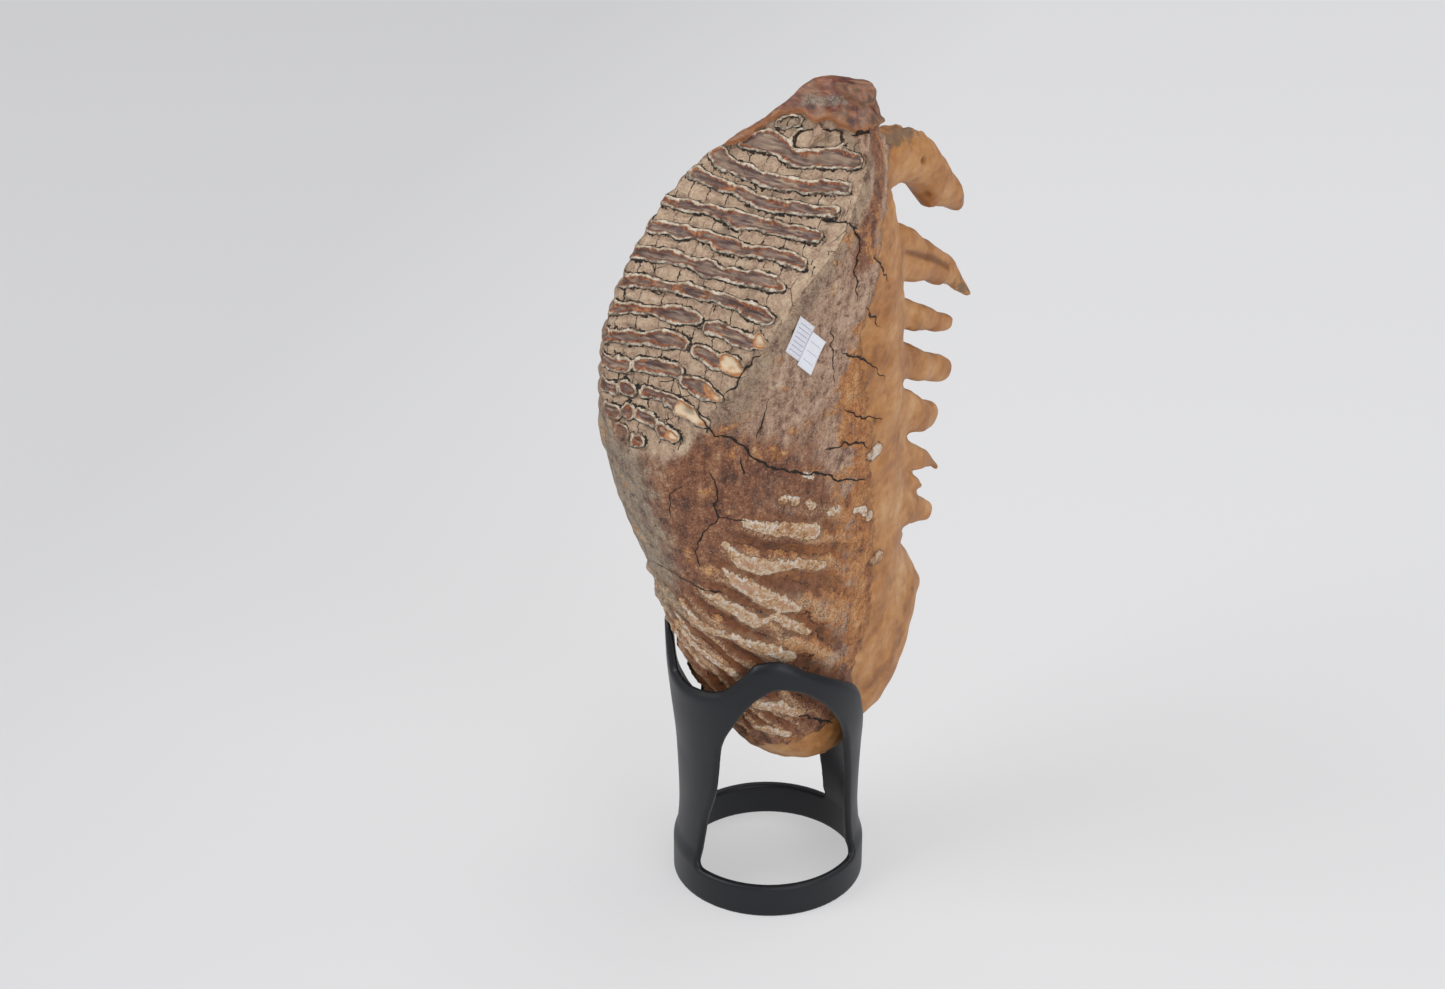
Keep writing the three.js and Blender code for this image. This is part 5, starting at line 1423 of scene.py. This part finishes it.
@dataclass(frozen=True)
class Stand:
    """Printed cradle: a thin wall of round section with a foot ring, two windows and a rim that falls outwards.

    Angles are in degrees from the side that the front window faces, growing towards +X. Sizes are in millimetres.
    """

    crown: CrownShape = field(default_factory=CrownShape)
    facing: float = 33.0
    wall: float = 3.2
    foot_height: float = 13.7
    rim_slope: float = 1.1
    seat_gap: float = 1.25
    edge: float = 1.5
    corner: float = 5.0
    cell: float = 0.85
    top: float = 122.0
    profile: Curve = Curve((0, 13.7, 21, 33, 60, 84, 99, 122), (38, 38, 36.3, 35.6, 36.5, 38.9, 40.3, 41))
    rim: Curve = Curve(
        (-180, -150, -130, -118, -110, -102, -95, -89, -83, -77, -71, -58, -42, -30, -18, -8, 3, 22, 50, 60, 72, 86,
         110, 140, 180),
        (61, 62, 66, 75, 83, 92, 113, 119, 116, 105, 99, 97.8, 99.3, 102, 109.5, 117, 118.2, 112, 101, 96, 83, 70,
         65, 62, 61))
    front_window: Curve = Curve(
        (-51, -50, -46.5, -37.5, -31.3, -21.5, -14, -6, 4, 15, 24, 41, 52.5, 60, 64, 65.5),
        (14.5, 20, 33.5, 51, 74.3, 87.3, 95.6, 101.7, 105.4, 103.8, 100, 87.4, 74.3, 55, 31, 14.5))
    back_window: Curve = Curve((137, 138, 141, 150, 165, 190, 212, 226, 231, 232),
                               (14.5, 25, 36, 45, 49, 50, 47, 38, 26, 14.5))

    def below(self, edge: Curve, angle: Array, radius: Array, z: Array) -> Array:
        """Distance down from a curved edge around the wall, square to the edge; past its ends the edge drops."""
        past = np.maximum(edge.at[0] - angle, 0) + np.maximum(angle - edge.at[-1], 0)
        slope = edge.slope(angle, 0.5) * 180 / math.pi / np.maximum(radius, 20)
        return (edge(angle) - 9 * past - z) / np.hypot(1, slope)

    def distance(self, points: Array) -> Array:
        """Distance to the stand, inside negative: the wall, cut by the floor, rim, windows and the molar's seat."""
        x, y, z = points.T
        radius = np.hypot(x, y)
        angle = (np.degrees(np.arctan2(y, x)) - self.facing + 90 + 180) % 360 - 180
        outer = self.profile(z)
        solid = np.abs(radius - outer + self.wall / 2) - self.wall / 2
        solid = smooth_max(solid, -z, self.edge * 0.6)
        inner_rim = self.profile(self.rim(angle)) - self.wall
        slope = self.rim.slope(angle, 0.5) * 180 / math.pi / np.maximum(radius, 20)
        rim = (z - self.rim(angle) + self.rim_slope * (radius - inner_rim)) / np.sqrt(1 + self.rim_slope**2 + slope**2)
        solid = smooth_max(solid, rim, self.edge)
        for window, turn in ((self.front_window, angle), (self.back_window, angle % 360)):
            hole = smooth_min(self.below(window, turn, radius, z), z - self.foot_height, self.corner)
            solid = smooth_max(solid, hole, self.edge)
        seat = np.minimum(self.crown.distance(points), wing_distance(points))
        return smooth_max(solid, self.seat_gap - seat, self.edge * 0.6)

    def build(self) -> list[bpy.types.Object]:
        """The stand's skin, finished."""
        points, faces = skin_of(self.distance, (-43.0, -43.0, -1.5), (43.0, 43.0, self.top), self.cell)
        piece = mesh_piece("stand_print", points, [faces])
        piece.data.materials.append(PrintFinish().build())
        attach(piece, "root")
        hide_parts("stand")
        return [piece]


# ---- the labels --------------------------------------------------------------------------------------------------


@dataclass(frozen=True)
class Label:
    """A small paper label that lies on the crown's side and bends with it.

    Attributes:
        node: Solid that the label stands for.
        angle: Place around the crown, in degrees.
        z: Height of its middle, in millimetres.
        width: Width of the sheet.
        height: Height of the sheet.
        turn: Turn of the sheet's lower edge in its own plane, in degrees.
        lean: Turn of the sheet's long edges, which differs a little, as it was cut by hand.
        lift: Height of its underside above the crown.
        curl: How far its corners lift.
        finish: Its material.
        thickness: Thickness of the sheet.
        cells: Cells along each side of its grid.
    """

    node: str
    angle: float
    z: float
    width: float
    height: float
    turn: float
    lean: float
    lift: float
    curl: float
    finish: PaperFinish
    thickness: float = 0.25
    cells: int = 18

    def build(self, shape: CrownShape) -> list[bpy.types.Object]:
        """The sheet: a flat grid, lowered at each place by the distance to the crown there, then given its thickness.

        Args:
            shape: Form of the crown that carries the label.

        Returns:
            The finished piece.
        """
        turn, z = np.radians(self.angle), np.array(self.z)
        centre = shape.unworn(z, np.array(turn))
        probe = np.radians(1.0)
        around = shape.unworn(z, np.array(turn + probe)) - shape.unworn(z, np.array(turn - probe))
        upward = shape.unworn(z + 1, np.array(turn)) - shape.unworn(z - 1, np.array(turn))
        normal = np.cross(around, upward)
        normal /= np.linalg.norm(normal)
        level = np.cross((0, 0, 1), normal)
        level /= np.linalg.norm(level)
        upward = np.cross(normal, level)
        tilt, lean = math.radians(self.turn), math.radians(self.lean)
        along = level * math.cos(tilt) - upward * math.sin(tilt)
        rise = level * math.sin(lean) + upward * math.cos(lean)
        u, v = np.meshgrid(np.linspace(-0.5, 0.5, self.cells + 1) * self.width,
                           np.linspace(-0.5, 0.5, self.cells + 1) * self.height)
        u, v = u.ravel(), v.ravel()
        flat = centre + u[:, None] * along + v[:, None] * rise
        bend = shape.distance(flat)
        corner = np.clip(np.abs(u) / self.width + np.abs(v) / self.height - 0.62, 0, 1) / 0.38
        lift = self.lift + self.thickness - bend + self.curl * corner**2 + 0.06 * np.sin(u * 0.9 + v * 0.5)
        points = flat + lift[:, None] * normal
        faces = grid_faces(self.cells + 1, self.cells + 1, closed=False)
        piece = mesh_piece(self.node + "_sheet", points, [faces], {"sheet_across": u, "sheet_up": v})
        piece.data.materials.append(self.finish.build())
        sheet = piece.modifiers.new("thickness", "SOLIDIFY")
        sheet.thickness = self.thickness * MM
        sheet.offset = -1.0
        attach(piece, "root")
        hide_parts(self.node)
        return [piece]


# ---- stage, light and camera -------------------------------------------------------------------------------------


class LightPlace(Enum):
    """Soft lamps of the studio: position and size in metres, power in watts and colour."""

    KEY = ((-1.2, -1.5, 1.7), 1.7, 30.0, "#FFFFFF")
    FILL = ((2.0, -1.0, 1.2), 2.2, 26.0, "#FBFCFF")
    TOP = ((0.5, 0.9, 2.3), 2.4, 24.0, "#FFFFFF")


@dataclass(frozen=True)
class Studio:
    """Pale floor, soft lamps and the camera at the photograph's angle.

    Lengths are in millimetres, but for the place that the lamps look at, which is in metres.
    """

    floor_half: float = 6000.0
    world: str = "#D8D9DC"
    world_strength: float = 0.42
    azimuth: float = 33.0
    elevation: float = 27.94
    distance: float = 1096.6
    aim_right: float = -18.34
    aim_height: float = 168.0
    lens: float = 72.25
    lamp_aim: tuple[float, float, float] = (0.0, 0.02, 0.16)

    def floor(self) -> bpy.types.Object:
        """Large flat floor that the object stands on."""
        half = self.floor_half * MM
        u, v = np.meshgrid(np.linspace(-half, half, 9), np.linspace(-half, half, 9))
        points = np.stack([u.ravel(), v.ravel(), np.zeros(u.size)], -1)
        mesh = bpy.data.meshes.new("floor")
        mesh.from_pydata(points.tolist(), [], grid_faces(9, 9, closed=False).tolist())
        piece = bpy.data.objects.new("floor", mesh)
        bpy.context.scene.collection.objects.link(piece)
        mesh.materials.append(FloorFinish().build())
        return piece

    def lamps(self) -> None:
        """Area lamps that look at the molar's middle, and an even pale surround."""
        for place in LightPlace:
            position, size, power, colour = place.value
            lamp = bpy.data.lights.new("lamp_" + place.name.lower(), "AREA")
            lamp.shape = "DISK"
            lamp.size = size
            lamp.energy = power
            lamp.color = linear(colour)[:3]
            piece = bpy.data.objects.new(lamp.name, lamp)
            piece.location = position
            piece.rotation_euler = (Vector(self.lamp_aim) - Vector(position)).to_track_quat("-Z", "Y").to_euler()
            bpy.context.scene.collection.objects.link(piece)
        world = bpy.data.worlds.new("studio")
        world.use_nodes = True
        background = world.node_tree.nodes["Background"]
        background.inputs["Color"].default_value = linear(self.world)
        background.inputs["Strength"].default_value = self.world_strength
        bpy.context.scene.world = world

    def camera(self) -> None:
        """Camera whose axis passes through the aim, from the azimuth and elevation of the photograph."""
        turn, rise = math.radians(self.azimuth), math.radians(self.elevation)
        back = np.array([math.sin(turn) * math.cos(rise), -math.cos(turn) * math.cos(rise), math.sin(rise)])
        right = np.array([math.cos(turn), math.sin(turn), 0.0])
        aim = right * self.aim_right + np.array([0, 0, self.aim_height]) + np.array(RING_PLACE)
        data = bpy.data.cameras.new("camera")
        data.lens = self.lens
        data.sensor_width = 36.0
        data.sensor_fit = "HORIZONTAL"
        data.clip_start = 0.05
        data.clip_end = 50.0
        piece = bpy.data.objects.new("camera", data)
        up = np.cross(back, right)
        turned = Matrix(np.stack([right, up, back], -1).tolist()).to_4x4()
        piece.matrix_world = Matrix.Translation(((aim + back * self.distance) * MM).tolist()) @ turned
        bpy.context.scene.collection.objects.link(piece)
        bpy.context.scene.camera = piece

    def build(self) -> None:
        """Floor, lamps and camera."""
        self.camera()
        self.floor()
        self.lamps()
        bpy.context.scene.view_settings.view_transform = "Standard"


def main() -> None:
    """Builds the studio, the molar, the stand and the labels in order."""
    logging.basicConfig(level=logging.INFO, format="%(message)s")
    molar = Molar()
    Studio().build()
    pieces = molar.build()
    pieces += Stand().build()
    upper = PaperFinish("label_paper_aged", "#C4C2CC", "#8684A0", 1.7, -5.1, 5.1)
    lower = PaperFinish("label_paper_white", "#DADBE2", "#A3A4B0", 3.4, -3.4, 3.4)
    pieces += Label("label_upper", -21.6, 256.3, 9.0, 14.0, 43, 21, 0.45, 0.05, upper).build(molar.shape)
    pieces += Label("label_lower", -14.6, 249.2, 9.2, 13.3, 43, 23, 0.8, 0.25, lower).build(molar.shape)
    for piece in pieces:
        log.info("%s: %d points, %d faces", piece.name, len(piece.data.vertices), len(piece.data.polygons))


if __name__ == "__main__":
    main()
